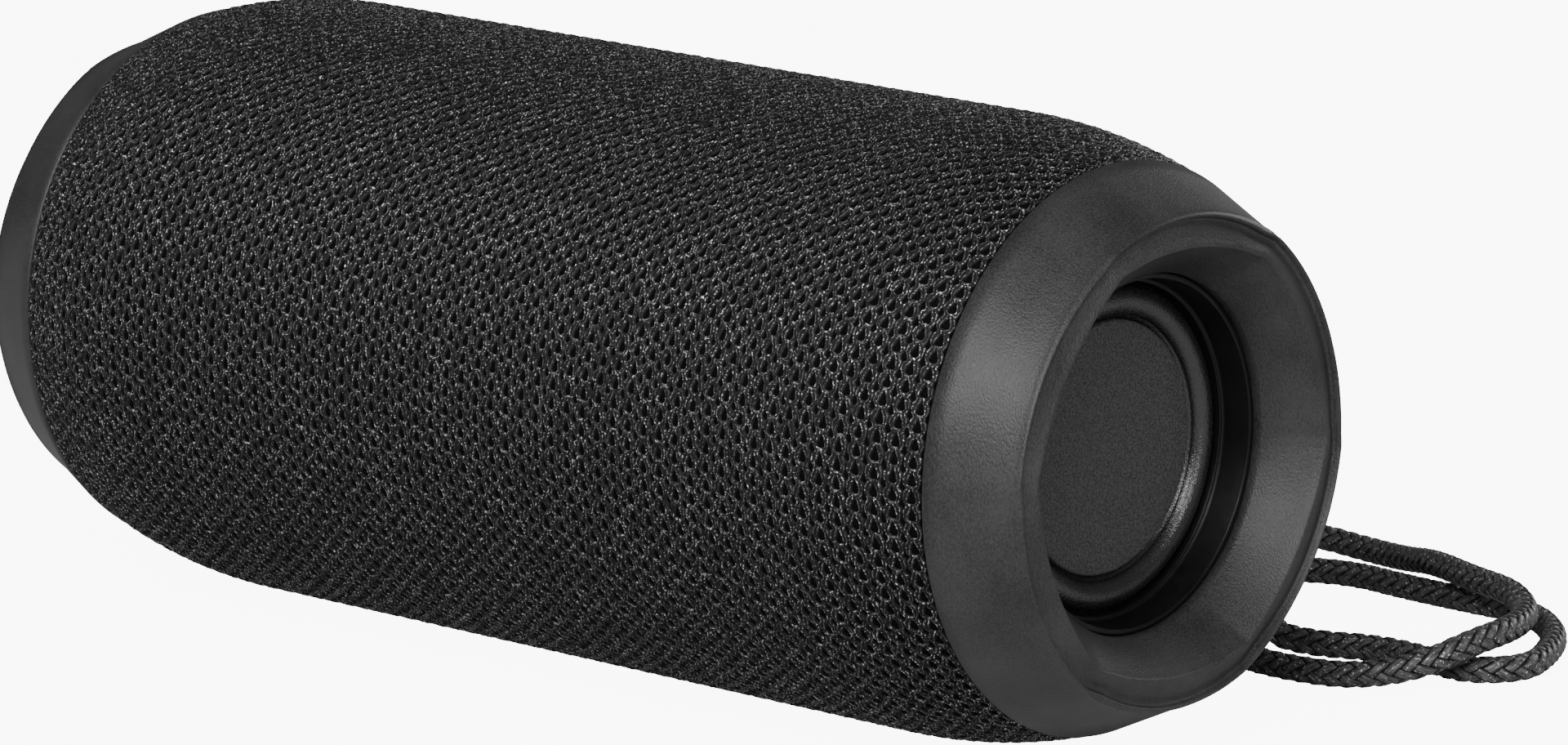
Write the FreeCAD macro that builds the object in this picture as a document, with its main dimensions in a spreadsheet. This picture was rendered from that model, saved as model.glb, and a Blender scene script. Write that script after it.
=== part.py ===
"""Portable bluetooth speaker: a cloth-covered cylinder lying on its side.

The cylinder's axis runs along X, the two drivers face -Y, and +Y is the back,
which carries the button panel, the port cover and the strap.  The origin is on
the resting surface, under the middle of the cylinder.  Millimetres.
"""
import FreeCAD, Part
import Sketcher
import math
import os
import re
from FreeCAD import Placement, Rotation, Vector

# --------------------------------------------------------------------------
# Driving dimensions
# --------------------------------------------------------------------------
DIMENSIONS = {
    # outer form
    "body_radius": 35.0,
    "foot_proud": 0.3,
    "straight_half": 49.5,        # the body is a true cylinder this far from its middle
    "taper_radius": 61.0,         # beyond that its outline bends inwards on this radius
    "seam_half": 68.6,            # where cloth and end collar meet
    "cloth_thickness": 0.7,
    "grille_thickness": 1.2,
    "grille_gap": 0.1,
    "grille_half": 66.0,
    "grille_hole": 2.7,
    "grille_pitch": 7.4,
    # end collars
    "nose_shoulder": 78.4,
    "nose_shoulder_radius": 27.87,
    "nose_tip": 79.0,             # the end face is a flat band from the nose to the mouth
    "nose_radius": 27.1,
    "mouth_radius": 24.9,         # to the soft corners of the six-sided mouth
    "mouth_flat": 23.85,          # to its sides
    "mouth_turn": -3.0,           # degrees
    "opening_radius": 20.1,
    "opening_half": 73.2,
    "collar_wall": 2.2,
    "collar_root": 62.0,          # where the part of the collar under the cloth begins
    "collar_root_radius": 28.6,
    # passive radiators
    "radiator_well_radius": 19.0,
    "radiator_face": 67.9,
    "disc_radius": 14.2,
    "radiator_back": 67.0,
    "radiator_flange_back": 62.4,
    "radiator_flange_face": 63.9,
    "radiator_screw_circle": 24.5,
    # cabinet
    "cabinet_outer": 30.0,
    "cabinet_inner": 28.2,
    "cabinet_half": 60.0,
    "driver_spacing_half": 29.0,
    "driver_seat": 23.5,          # distance of the driver's seat in front of the axis
    "driver_flange": 20.4,
    "driver_hole": 16.8,
    "driver_screw_circle": 18.6,
    "driver_neck": 16.6,
    "driver_mount_depth": 18.5,
    # rear panel
    "panel_half_length": 56.0,
    "panel_half_width": 12.0,
    "panel_inner": 33.0,
    "panel_outer": 35.2,
    "panel_corner": 6.0,
    "panel_clearance": 0.1,
    "socket_floor": 25.0,         # openings in the panel are cut from here outwards
    "control_board_y": 27.5,
    "control_board_face": 28.7,
    "usb_x": 28.0,
    "jack_x": 37.0,
    "lamp_x": 19.0,
    "lamp_z": 4.0,
    "button_radius": 4.5,
    "button_clearance": 0.25,
    "button_first": -44.0,
    "button_pitch": 14.0,
    # port cover
    "cover_start": 22.3,
    "cover_length": 19.4,
    "cover_half_width": 6.0,
    "cover_inner": 34.05,
    "hinge_y": 34.0,
    "hinge_z": -6.9,
    "hinge_pin_radius": 0.4,
    "knuckle_radius": 0.8,
    # strap
    "cord_radius": 1.6,
    "anchor_x": 50.0,
    "anchor_pitch_half_x": 2.2,
    "anchor_pitch_half_z": 2.3,
    "anchor_half_x": 4.8,
    "anchor_half_z": 4.9,
    "anchor_inner": 26.0,
    # underside
    "foot_x": 30.0,
    "foot_length": 30.0,
    "foot_width": 5.0,
    # main board
    "board_y": 17.0,
    "board_back": 18.6,
    "board_screw_x": 34.0,
    # battery
    "cell_radius": 9.2,
    "cell_length": 65.0,
    "cell_y": 6.0,
    "cell_z": -18.0,
}

doc = FreeCAD.newDocument("PortableSpeaker")
sheet = doc.addObject("Spreadsheet::Sheet", "Sizes")
for row, (alias, value) in enumerate(DIMENSIONS.items(), start=1):
    sheet.set("A%d" % row, alias)
    sheet.set("B%d" % row, str(value))
    sheet.setAlias("B%d" % row, alias)
sheet.set("A%d" % (len(DIMENSIONS) + 1), "axis_height")
sheet.set("B%d" % (len(DIMENSIONS) + 1), "=body_radius + foot_proud")
sheet.setAlias("B%d" % (len(DIMENSIONS) + 1), "axis_height")
doc.recompute()

X_DIR = Vector(1, 0, 0)
FRONT = Vector(0, -1, 0)
BACK = Vector(0, 1, 0)
SIDES = (("left", -1), ("right", 1))
nodes = []


# --------------------------------------------------------------------------
# Helpers: expressions bound to the sheet
# --------------------------------------------------------------------------
def formula(text):
    """A size written with the sheet's plain aliases, as a document expression."""
    return re.sub(r"\b(?!sqrt)[a-z][a-z_]+", lambda word: "Sizes." + word.group(0), str(text))


def number(text):
    """The present value of such a size."""
    return float(sheet.evalExpression(formula(text)))


def bind(thing, **sizes):
    for prop, text in sizes.items():
        thing.setExpression(prop, formula(text))


def put(thing, x="0", y="0", z="0", direction=None):
    """Place a piece relative to the middle of the cylinder's axis."""
    if direction is not None:
        thing.Placement = Placement(Vector(), Rotation(thing_axis(thing), direction))
    thing.setExpression(".Placement.Base.x", formula(x))
    thing.setExpression(".Placement.Base.y", formula(y))
    thing.setExpression(".Placement.Base.z", formula("axis_height + (%s)" % z))
    return thing


def thing_axis(thing):
    """Turned pieces are drawn about X, primitives such as cylinders about Z."""
    return X_DIR if thing.TypeId == "PartDesign::Body" else Vector(0, 0, 1)


def node(thing, label):
    """Keep a finished piece under the name of its file."""
    thing.Label = label
    nodes.append(thing)
    return thing


# --------------------------------------------------------------------------
# Helpers: solids
# --------------------------------------------------------------------------
def arc_centre(start, end, radius, side):
    """Centre of the arc from start to end; side is +1 when it turns anticlockwise."""
    chord = end - start
    height = math.sqrt(max(radius ** 2 - (chord.Length / 2) ** 2, 0.0))
    normal = Vector(-chord.y, chord.x, 0).normalize() * side
    return (start + end) * 0.5 + normal * height


def turned(name, outline):
    """A body turned about X.  Each corner is (x, r), or (x, r, radius, side) for a
    corner that is reached along an arc."""
    body = doc.addObject("PartDesign::Body", name)
    sketch = body.newObject("Sketcher::SketchObject", name + "_outline")
    plane = [f for f in body.Origin.OriginFeatures if f.Role == "XZ_Plane"][0]
    sketch.AttachmentSupport = [(plane, "")]
    sketch.MapMode = "FlatFace"
    points = [Vector(number(corner[0]), number(corner[1]), 0) for corner in outline]
    count = len(outline)
    ends = []
    for index in range(count):
        start = points[index]
        target = outline[(index + 1) % count]
        end = points[(index + 1) % count]
        if len(target) == 4:
            side = target[3]
            centre = arc_centre(start, end, number(target[2]), side)
            first, last = (start, end) if side > 0 else (end, start)
            angle_a = math.atan2(first.y - centre.y, first.x - centre.x)
            angle_b = math.atan2(last.y - centre.y, last.x - centre.x)
            circle = Part.Circle(centre, Vector(0, 0, 1), number(target[2]))
            sketch.addGeometry(Part.ArcOfCircle(circle, angle_a, angle_b))
            ends.append((1, 2) if side > 0 else (2, 1))
        else:
            sketch.addGeometry(Part.LineSegment(start, end))
            ends.append((1, 2))
    for index in range(count):
        following = (index + 1) % count
        sketch.addConstraint(Sketcher.Constraint(
            "Coincident", index, ends[index][1], following, ends[following][0]))
    for index, corner in enumerate(outline):
        start_end = ends[index][0]
        for kind, text, value in (("DistanceX", corner[0], points[index].x),
                                  ("DistanceY", corner[1], points[index].y)):
            if kind == "DistanceY" and text == "0":
                sketch.addConstraint(Sketcher.Constraint("PointOnObject", index, start_end, -1))
                continue
            made = sketch.addConstraint(Sketcher.Constraint(kind, -1, 1, index, start_end, value))
            sketch.renameConstraint(made, "%s_%d" % (kind.lower(), index))
            sketch.setExpression("Constraints.%s_%d" % (kind.lower(), index), formula(text))
    for index, corner in enumerate(outline):
        if len(corner) == 4:
            before = (index - 1) % count
            made = sketch.addConstraint(Sketcher.Constraint("Radius", before, number(corner[2])))
            sketch.renameConstraint(made, "radius_%d" % index)
            sketch.setExpression("Constraints.radius_%d" % index, formula(corner[2]))
    turn = body.newObject("PartDesign::Revolution", name + "_turn")
    turn.Profile = sketch
    turn.ReferenceAxis = (sketch, ["H_Axis"])
    turn.Angle = 360.0
    return body


def box(name, size, corner):
    made = doc.addObject("Part::Box", name)
    bind(made, Length=size[0], Width=size[1], Height=size[2])
    return put(made, *corner)


def rod(name, radius, length, at, direction):
    made = doc.addObject("Part::Cylinder", name)
    bind(made, Radius=radius, Height=length)
    return put(made, *at, direction=direction)


def fuse(name, *parts):
    made = doc.addObject("Part::MultiFuse", name)
    made.Shapes = list(parts)
    return made


def cut(name, base, *tools):
    made = doc.addObject("Part::Cut", name)
    made.Base = base
    made.Tool = tools[0] if len(tools) == 1 else fuse(name + "_tools", *tools)
    return made


def common(name, first, second):
    made = doc.addObject("Part::Common", name)
    made.Base = first
    made.Tool = second
    return made


def four_round(circle):
    """Four places on a circle, between the upright and the level: (index, across, up)."""
    reach = number(circle) / math.sqrt(2)
    corners = ((reach, reach), (-reach, reach), (-reach, -reach), (reach, -reach))
    return [(index, "%.4f" % across, "%.4f" % up)
            for index, (across, up) in enumerate(corners)]


def group(name, *parts):
    """Identical loose pieces kept together as separate solids."""
    made = doc.addObject("Part::Compound", name)
    made.Links = list(parts)
    return made


def rounded_slab(name, half_length, half_width, corner, y_from, depth, x_mid="0"):
    """A slab whose four edges along Y are rounded."""
    slab = box(name + "_block",
               ("2 * (%s)" % half_length, depth, "2 * (%s)" % half_width),
               ("(%s) - (%s)" % (x_mid, half_length), y_from, "-(%s)" % half_width))
    doc.recompute()
    radius = number(corner)
    edges = [index for index, edge in enumerate(slab.Shape.Edges, start=1)
             if abs(edge.tangentAt(edge.FirstParameter).y) > 0.9]
    made = doc.addObject("Part::Fillet", name)
    made.Base = slab
    made.Edges = [(index, radius, radius) for index in edges]
    return made


def screw(name, at, direction, length="5", shank="0.9", head="1.7", head_height="1.2"):
    """A pan-head screw whose head stands on the point at and whose shank goes on."""
    step = 0.5 * number(head_height)
    base = [number(value) for value in at]
    head_at = [str(base[i] - 2 * step * direction[i]) for i in range(3)]
    shank_rod = rod(name + "_shank", shank, length, [str(value) for value in base], direction)
    head_rod = rod(name + "_head", head, head_height, head_at, direction)
    socket_at = [str(base[i] - (2 * step + 0.01) * direction[i]) for i in range(3)]
    socket = rod(name + "_socket", "0.75", "0.7", socket_at, direction)
    return cut(name, fuse(name + "_solid", shank_rod, head_rod), socket)


# --------------------------------------------------------------------------
# Outer skin: cloth sleeve over a perforated grille shell
# --------------------------------------------------------------------------
def taper(x, inset):
    """Radius of the tapering outline at x, drawn inset below the cloth's surface."""
    return ("body_radius - taper_radius + sqrt((taper_radius - (%s)) ^ 2"
            " - ((%s) - straight_half) ^ 2)" % (inset, x))


def barrel(name, half, outer_inset, inner_inset):
    """A tube that is straight in the middle and bends inwards towards its ends."""
    outer = "body_radius - (%s)" % outer_inset
    inner = "body_radius - (%s)" % inner_inset
    outer_arc = "taper_radius - (%s)" % outer_inset
    inner_arc = "taper_radius - (%s)" % inner_inset
    tube = turned(name, [
        ("-(%s)" % half, taper(half, outer_inset)),
        ("-straight_half", outer, outer_arc, -1),
        ("straight_half", outer),
        (half, taper(half, outer_inset), outer_arc, -1),
        (half, taper(half, inner_inset)),
        ("straight_half", inner, inner_arc, 1),
        ("-straight_half", inner),
        ("-(%s)" % half, taper(half, inner_inset), inner_arc, 1),
    ])
    return put(tube)


def panel_window(name):
    """The opening that the rear panel needs in the layers of the skin."""
    return rounded_slab(name, "panel_half_length + panel_clearance",
                        "panel_half_width + panel_clearance", "panel_corner", "20", "30")


def foot_rail(name, sign, height):
    """A narrow rail under the body, standing foot_proud out of the cloth."""
    return box(name, ("foot_length", "foot_width", height),
               ("%d * foot_x - foot_length / 2" % sign, "-foot_width / 2",
                "-body_radius - foot_proud"))


def make_skin():
    sleeve = barrel("sleeve_tube", "seam_half", "0", "cloth_thickness")
    openings = [panel_window("sleeve_window")]
    for side, sign in SIDES:
        openings.append(foot_rail("sleeve_slot_" + side, sign, "3"))
    node(cut("sleeve", sleeve, *openings), "fabric_sleeve")

    inset = "cloth_thickness + grille_gap"
    shell = barrel("grille_tube", "grille_half", inset, inset + " + grille_thickness")
    holes = [panel_window("grille_window")]
    for side, sign in SIDES:
        for row in range(-2, 3):
            for column in range(5 - abs(row)):
                along = column - (4 - abs(row)) / 2.0
                holes.append(rod("grille_hole_%s_%d_%d" % (side, row + 2, column),
                                 "grille_hole", "20",
                                 ("%d * driver_spacing_half + %.1f * grille_pitch"
                                  % (sign, along), "-20",
                                  "%d * grille_pitch * sqrt(3) / 2" % row), FRONT))
    node(cut("grille", shell, *holes), "grille_shell")


# --------------------------------------------------------------------------
# End collars: tapering rings with a six-sided mouth that narrows to a round opening
# --------------------------------------------------------------------------
def hexagon_ring(radius, flat, x, count=6):
    """Closed smooth curve: a hexagon with soft corners, one of them pointing nearly along +Y."""
    points = []
    for index in range(2 * count):
        angle = math.pi * index / count + math.radians(number("mouth_turn"))
        reach = radius if index % 2 == 0 else flat
        points.append(Vector(x, reach * math.cos(angle), reach * math.sin(angle)))
    curve = Part.BSplineCurve()
    curve.interpolate(points, PeriodicFlag=True)
    return Part.Wire(curve.toShape())


def make_collar(side, sign):
    tip_seam = taper("seam_half", "0")
    outline = [
        ("%d * collar_root" % sign, "collar_root_radius"),
        ("%d * collar_root" % sign, "collar_root_radius + 1.5"),
        ("%d * seam_half" % sign, taper("seam_half", "cloth_thickness + grille_gap") + " - 1.3"),
        ("%d * seam_half" % sign, tip_seam),
        ("%d * nose_shoulder" % sign, "nose_shoulder_radius"),
        ("%d * nose_tip" % sign, "nose_radius"),
        ("%d * nose_tip" % sign, "opening_radius - 2"),
        ("%d * (opening_half - collar_wall)" % sign, "opening_radius - 2"),
        ("%d * (opening_half - collar_wall)" % sign, "opening_radius + 1.6"),
        ("%d * (nose_tip - 3.4)" % sign, "mouth_radius"),
        ("%d * (seam_half + 1)" % sign, tip_seam + " - collar_wall"),
        ("%d * (seam_half - 1)" % sign, "collar_root_radius"),
    ]
    ring = turned("collar_%s_ring" % side, outline)
    put(ring)
    mouth = doc.addObject("Part::Feature", "collar_%s_mouth" % side)
    outer_wire = hexagon_ring(number("mouth_radius"), number("mouth_flat"),
                              sign * number("nose_tip + 0.2"))
    circle = Part.Circle(Vector(sign * number("opening_half - 1"), 0, 0), X_DIR,
                         number("opening_radius - 0.6"))
    round_points = [circle.value(math.pi * k / 6 + circle_start(circle)) for k in range(12)]
    inner_curve = Part.BSplineCurve()
    inner_curve.interpolate(round_points, PeriodicFlag=True)
    inner_wire = Part.Wire(inner_curve.toShape())
    mouth.Shape = Part.makeLoft([inner_wire, outer_wire], True, True)
    put(mouth)
    cutters = [mouth, rod("collar_%s_opening" % side, "opening_radius", "20",
                          ("%d * 66" % sign, "0", "0"), X_DIR * sign)]
    bosses = []
    for index, y, z in four_round("radiator_screw_circle"):
        cutters.append(rod("collar_%s_pilot_%d" % (side, index), "0.9", "6",
                           ("%d * radiator_flange_face" % sign, y, z), X_DIR * sign))
        bosses.append(rod("collar_%s_boss_%d" % (side, index), "2.4", "11",
                          ("%d * (radiator_flange_face + 0.1)" % sign, y, z), X_DIR * sign))
    solid = fuse("collar_%s_solid" % side, ring, *bosses)
    node(cut("collar_%s" % side, solid, *cutters), "end_collar_%s" % side)


def circle_start(circle):
    """Parameter of the circle's point that lies along +Y."""
    return circle.parameter(circle.Center + Vector(0, circle.Radius, 0))


# --------------------------------------------------------------------------
# Passive radiators: a weighted disc on a rubber half-roll, one in each end
# --------------------------------------------------------------------------
def make_radiator(side, sign):
    frame = turned("radiator_%s_frame" % side, [
        ("%d * radiator_flange_back" % sign, "17.4"),
        ("%d * radiator_flange_back" % sign, "28.2"),
        ("%d * radiator_flange_face" % sign, "28.2"),
        ("%d * radiator_flange_face" % sign, "radiator_well_radius + 1.4"),
        ("%d * (opening_half - 0.9)" % sign, "radiator_well_radius + 1.0"),
        ("%d * (opening_half - 0.9)" % sign, "radiator_well_radius + 0.2"),
        ("%d * 68.6" % sign, "radiator_well_radius"),
        ("%d * 68.4" % sign, "radiator_well_radius - 0.5"),
        ("%d * radiator_back" % sign, "radiator_well_radius - 0.5"),
        ("%d * radiator_back" % sign, "17.4"),
    ])
    put(frame)
    holes = []
    for index, y, z in four_round("radiator_screw_circle"):
        holes.append(rod("radiator_%s_hole_%d" % (side, index), "1.0", "4",
                         ("%d * 61" % sign, y, z), X_DIR * sign))
    node(cut("radiator_%s_basket" % side, frame, *holes), "radiator_frame_%s" % side)

    skin = turned("radiator_%s_surround" % side, [
        ("%d * radiator_back" % sign, "radiator_well_radius - 0.5"),
        ("%d * (radiator_back + 0.5)" % sign, "radiator_well_radius - 0.5"),
        ("%d * (radiator_back + 0.5)" % sign, "radiator_well_radius - 1.0"),
        ("%d * (radiator_back + 0.5)" % sign, "disc_radius + 0.7", "1.57", -sign),
        ("%d * (radiator_back + 0.5)" % sign, "disc_radius"),
        ("%d * radiator_back" % sign, "disc_radius"),
        ("%d * radiator_back" % sign, "disc_radius + 1.2"),
        ("%d * radiator_back" % sign, "radiator_well_radius - 1.5", "1.1", sign),
    ])
    node(put(skin), "radiator_surround_%s" % side)

    disc = turned("radiator_%s_disc" % side, [
        ("%d * 66.2" % sign, "0"),
        ("%d * 66.2" % sign, "disc_radius + 0.9"),
        ("%d * radiator_back" % sign, "disc_radius + 0.9"),
        ("%d * radiator_back" % sign, "disc_radius"),
        ("%d * (radiator_face - 0.3)" % sign, "disc_radius"),
        ("%d * radiator_face" % sign, "disc_radius - 0.3"),
        ("%d * radiator_face" % sign, "0"),
    ])
    node(put(disc), "radiator_disc_%s" % side)
    weight = turned("radiator_%s_weight" % side, [
        ("%d * 63.2" % sign, "0"),
        ("%d * 63.2" % sign, "9.5"),
        ("%d * 66.2" % sign, "9.5"),
        ("%d * 66.2" % sign, "0"),
    ])
    node(put(weight), "radiator_weight_%s" % side)

    gasket = turned("radiator_%s_gasket" % side, [
        ("%d * cabinet_half" % sign, "21.8"),
        ("%d * cabinet_half" % sign, "28.0"),
        ("%d * radiator_flange_back" % sign, "28.0"),
        ("%d * radiator_flange_back" % sign, "26.6"),
        ("%d * 60.8" % sign, "26.6"),
        ("%d * 60.8" % sign, "21.8"),
    ])
    node(put(gasket), "radiator_gasket_%s" % side)

    screws = []
    for index, y, z in four_round("radiator_screw_circle"):
        screws.append(screw("radiator_%s_screw_%d" % (side, index),
                            ("%d * radiator_flange_back" % sign, y, z), X_DIR * sign))
    node(group("radiator_%s_screws" % side, *screws), "radiator_screws_%s" % side)


# --------------------------------------------------------------------------
# Acoustic cabinet: a sealed tube in two halves with seats for the drivers
# --------------------------------------------------------------------------
BOARD_FIXINGS = [(index, x, z) for index, (x, z) in enumerate((
    ("-board_screw_x", "-4"), ("-board_screw_x", "16"),
    ("board_screw_x", "-4"), ("board_screw_x", "16")))]


def make_cabinet():
    tube = turned("cabinet_tube", [
        ("-cabinet_half", "21.6"), ("-cabinet_half", "cabinet_outer"),
        ("cabinet_half", "cabinet_outer"), ("cabinet_half", "21.6"),
        ("cabinet_half - 1.8", "21.6"), ("cabinet_half - 1.8", "cabinet_inner"),
        ("-cabinet_half + 1.8", "cabinet_inner"), ("-cabinet_half + 1.8", "21.6"),
    ])
    put(tube)
    front_half = box("front_space", ("140", "50", "100"), ("-70", "-50", "-50"))
    front = common("cabinet_front_tube", tube, front_half)
    seats = []
    openings = []
    for side, sign in SIDES:
        place = ("%d * driver_spacing_half" % sign, "-driver_mount_depth", "0")
        seats.append(rod("driver_seat_%s" % side, "driver_flange + 0.6",
                         "driver_seat - driver_mount_depth", place, FRONT))
        openings.append(rod("driver_hole_%s" % side, "driver_hole", "30",
                            (place[0], "-10", "0"), FRONT))
        openings.append(rod("driver_recess_%s" % side, "driver_flange + 0.6", "20",
                            (place[0], "-driver_seat", "0"), FRONT))
        for index, x, z in four_round("driver_screw_circle"):
            openings.append(rod("driver_pilot_%s_%d" % (side, index), "0.8", "4",
                                ("%d * driver_spacing_half + %s" % (sign, x),
                                 "-driver_seat + 3.9", z), FRONT))
    node(cut("cabinet_front", fuse("cabinet_front_seats", front, *seats), *openings),
         "cabinet_front")

    back_half = box("back_space", ("140", "50", "100"), ("-70", "0", "-50"))
    back = common("cabinet_rear_tube", tube, back_half)
    tray = box("tray_block", ("2 * (panel_half_length - 0.6)", "8.2", "22"),
               ("-panel_half_length + 0.6", "24.4", "-11"))
    tray_round = rod("tray_envelope", "panel_inner - 0.3", "140", ("-70", "0", "0"), X_DIR)
    tray_fit = common("tray_fit", tray, tray_round)
    cavity = box("tray_cavity", ("2 * (panel_half_length - 2.2)", "20", "18.8"),
                 ("-panel_half_length + 2.2", "26", "-9.4"))
    anchor_seat = box("anchor_seat", ("2 * anchor_half_x + 0.2", "20", "2 * anchor_half_z + 0.2"),
                      ("anchor_x - anchor_half_x - 0.1", "anchor_inner", "-anchor_half_z - 0.1"))
    jack_cup = rod("jack_cup", "4.6", "7.6", ("jack_x", "board_back + 0.2", "0"), BACK)
    jack_bore = rod("jack_cup_bore", "3.4", "7.6", ("jack_x", "19.7", "0"), BACK)
    board_posts = []
    board_pilots = []
    for index, x, z in BOARD_FIXINGS:
        board_posts.append(rod("board_post_%d" % index, "2", "7" if z == "-4" else "5.2",
                               (x, "board_back", z), BACK))
        board_pilots.append(rod("board_pilot_%d" % index, "0.95", "4", (x, "board_back", z),
                                BACK))
    panel_posts = []
    for x in (-48, 6):
        for z in (-6, 6):
            panel_posts.append(rod("panel_post_%d_%d" % (x, z), "1.4", "3.1",
                                   (str(x), "24.4", str(z)), BACK))
    hull = fuse("cabinet_rear_hull", back, tray_fit, jack_cup, *board_posts)
    hollow = cut("cabinet_rear_hollow", hull, cavity, jack_bore, anchor_seat, *board_pilots)
    node(fuse("cabinet_rear", hollow, *panel_posts), "cabinet_rear")


# --------------------------------------------------------------------------
# Drivers: basket, magnet, coil, cone, dust cap and surround, facing the front
# --------------------------------------------------------------------------
def facing_front(thing, sign):
    return put(thing, "%d * driver_spacing_half" % sign, direction=FRONT)


def make_driver(side, sign):
    basket = turned("driver_%s_frame" % side, [
        ("9.4", "8.2"), ("9.4", "11.2"), ("10.6", "12.4"), ("driver_seat - 1.0", "driver_neck"),
        ("driver_seat", "driver_neck"), ("driver_seat", "driver_flange"),
        ("driver_seat + 1.6", "driver_flange"), ("driver_seat + 1.6", "16.4"),
        ("driver_seat + 0.6", "16.4"), ("driver_seat + 0.6", "15.6"),
        ("driver_seat - 0.8", "15.6"), ("11.2", "11.2"), ("10.2", "10.4"), ("10.2", "8.2"),
    ])
    facing_front(basket, sign)
    holes = []
    for index, x, z in four_round("driver_screw_circle"):
        holes.append(rod("driver_%s_screw_hole_%d" % (side, index), "1.0", "4",
                         ("%d * driver_spacing_half + %s" % (sign, x), "-driver_seat + 1", z),
                         FRONT))
    node(cut("driver_%s_basket" % side, basket, *holes), "driver_basket_%s" % side)

    magnet = turned("driver_%s_magnet" % side, [
        ("1.6", "0"), ("1.6", "11"), ("9.4", "11"), ("9.4", "7.8"), ("4.0", "7.8"),
        ("4.0", "5.9"), ("9.4", "5.9"), ("9.4", "0"),
    ])
    node(facing_front(magnet, sign), "driver_magnet_%s" % side)
    coil = turned("driver_%s_coil" % side, [
        ("6.4", "6.3"), ("6.4", "7.3"), ("10.6", "7.3"), ("10.6", "6.8"), ("14.2", "6.8"),
        ("14.2", "6.3"),
    ])
    node(facing_front(coil, sign), "voice_coil_%s" % side)
    cone = turned("driver_%s_cone" % side, [
        ("13.4", "6.8"), ("22.9", "13.2"), ("22.9", "14.2"), ("22.3", "14.2"),
        ("22.3", "13.4"), ("13.4", "7.5"),
    ])
    node(facing_front(cone, sign), "driver_cone_%s" % side)
    cap = turned("driver_%s_cap" % side, [
        ("14.3", "0"), ("14.3", "6.2"), ("14.9", "6.9"), ("17.6", "0", "10.2", -1),
    ])
    node(facing_front(cap, sign), "dust_cap_%s" % side)
    surround = turned("driver_%s_surround" % side, [
        ("driver_seat + 0.6", "16.4"), ("driver_seat + 0.6", "15.5"), ("22.9", "15.5"),
        ("22.9", "13.3"), ("23.4", "13.3"), ("24.9", "14.9", "1.55", -1),
        ("driver_seat + 1.1", "16.4", "1.55", -1),
    ])
    node(facing_front(surround, sign), "driver_surround_%s" % side)
    gasket = turned("driver_%s_gasket" % side, [
        ("driver_seat + 1.6", "driver_neck"), ("driver_seat + 1.6", "driver_neck + 0.9"),
        ("driver_seat + 2.4", "driver_neck + 0.9"), ("driver_seat + 2.4", "driver_neck"),
    ])
    node(facing_front(gasket, sign), "driver_gasket_%s" % side)
    screws = []
    for index, x, z in four_round("driver_screw_circle"):
        screws.append(screw("driver_%s_screw_%d" % (side, index),
                            ("%d * driver_spacing_half + %s" % (sign, x),
                             "-driver_seat - 1.6", z),
                            BACK, shank="0.8", head="1.0", head_height="0.8"))
    node(group("driver_%s_screws" % side, *screws), "driver_screws_%s" % side)


# --------------------------------------------------------------------------
# Rear panel with buttons, hinged port cover and the sockets below it
# --------------------------------------------------------------------------
BUTTONS = ("power", "volume_down", "play_pause", "volume_up", "mode")


def shell_sector(name, inner, outer, cutter):
    """The part of a cylindrical shell that lies inside a cutter."""
    outside = rod(name + "_outside", outer, "160", ("-80", "0", "0"), X_DIR)
    inside = rod(name + "_inside", inner, "160", ("-80", "0", "0"), X_DIR)
    return common(name, cut(name + "_shell", outside, inside), cutter)


def make_panel():
    slab = rounded_slab("panel_slab", "panel_half_length", "panel_half_width", "panel_corner",
                        "20", "30")
    strip = shell_sector("panel_strip", "panel_inner", "panel_outer", slab)
    openings = []
    for index in range(len(BUTTONS)):
        openings.append(rod("button_hole_%d" % index, "button_radius + button_clearance", "20",
                            ("button_first + %d * button_pitch" % index, "socket_floor", "0"),
                            BACK))
    pocket_block = box("pocket_block", ("cover_length + 0.6", "20", "2 * cover_half_width + 1.2"),
                       ("cover_start - 0.3", "socket_floor", "-cover_half_width - 0.6"))
    openings.append(shell_sector("pocket", "cover_inner - 0.15", "panel_outer + 5",
                                 pocket_block))
    openings.append(rod("hinge_clearance", "knuckle_radius + 0.3", "cover_length + 0.6",
                        ("cover_start - 0.3", "hinge_y", "hinge_z"), X_DIR))
    openings.append(rod("hinge_bore", "hinge_pin_radius", "cover_length + 2.2",
                        ("cover_start - 1.1", "hinge_y", "hinge_z"), X_DIR))
    openings.append(rounded_slab("usb_window", "4.7", "1.85", "1.6", "socket_floor", "20",
                                 "usb_x"))
    openings.append(rod("jack_window", "3.3", "20", ("jack_x", "socket_floor", "0"), BACK))
    openings.append(box("anchor_window", ("2 * anchor_half_x", "20", "2 * anchor_half_z"),
                        ("anchor_x - anchor_half_x", "socket_floor", "-anchor_half_z")))
    openings.append(rod("microphone_window", "0.6", "20", ("lamp_x", "socket_floor", "0"), BACK))
    openings.append(rod("lamp_window", "0.9", "20", ("lamp_x", "socket_floor", "lamp_z"), BACK))
    node(cut("panel", strip, *openings), "control_panel")


def make_buttons():
    for index, name in enumerate(BUTTONS):
        cap = turned("button_%d" % index, [
            ("31.6", "0"), ("31.6", "5.3"), ("32.3", "5.3"), ("32.3", "button_radius"),
            ("35.3", "button_radius"), ("35.7", "button_radius - 0.4"), ("35.5", "0"),
        ])
        put(cap, "button_first + %d * button_pitch" % index, direction=BACK)
        node(cap, "button_" + name)


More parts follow.
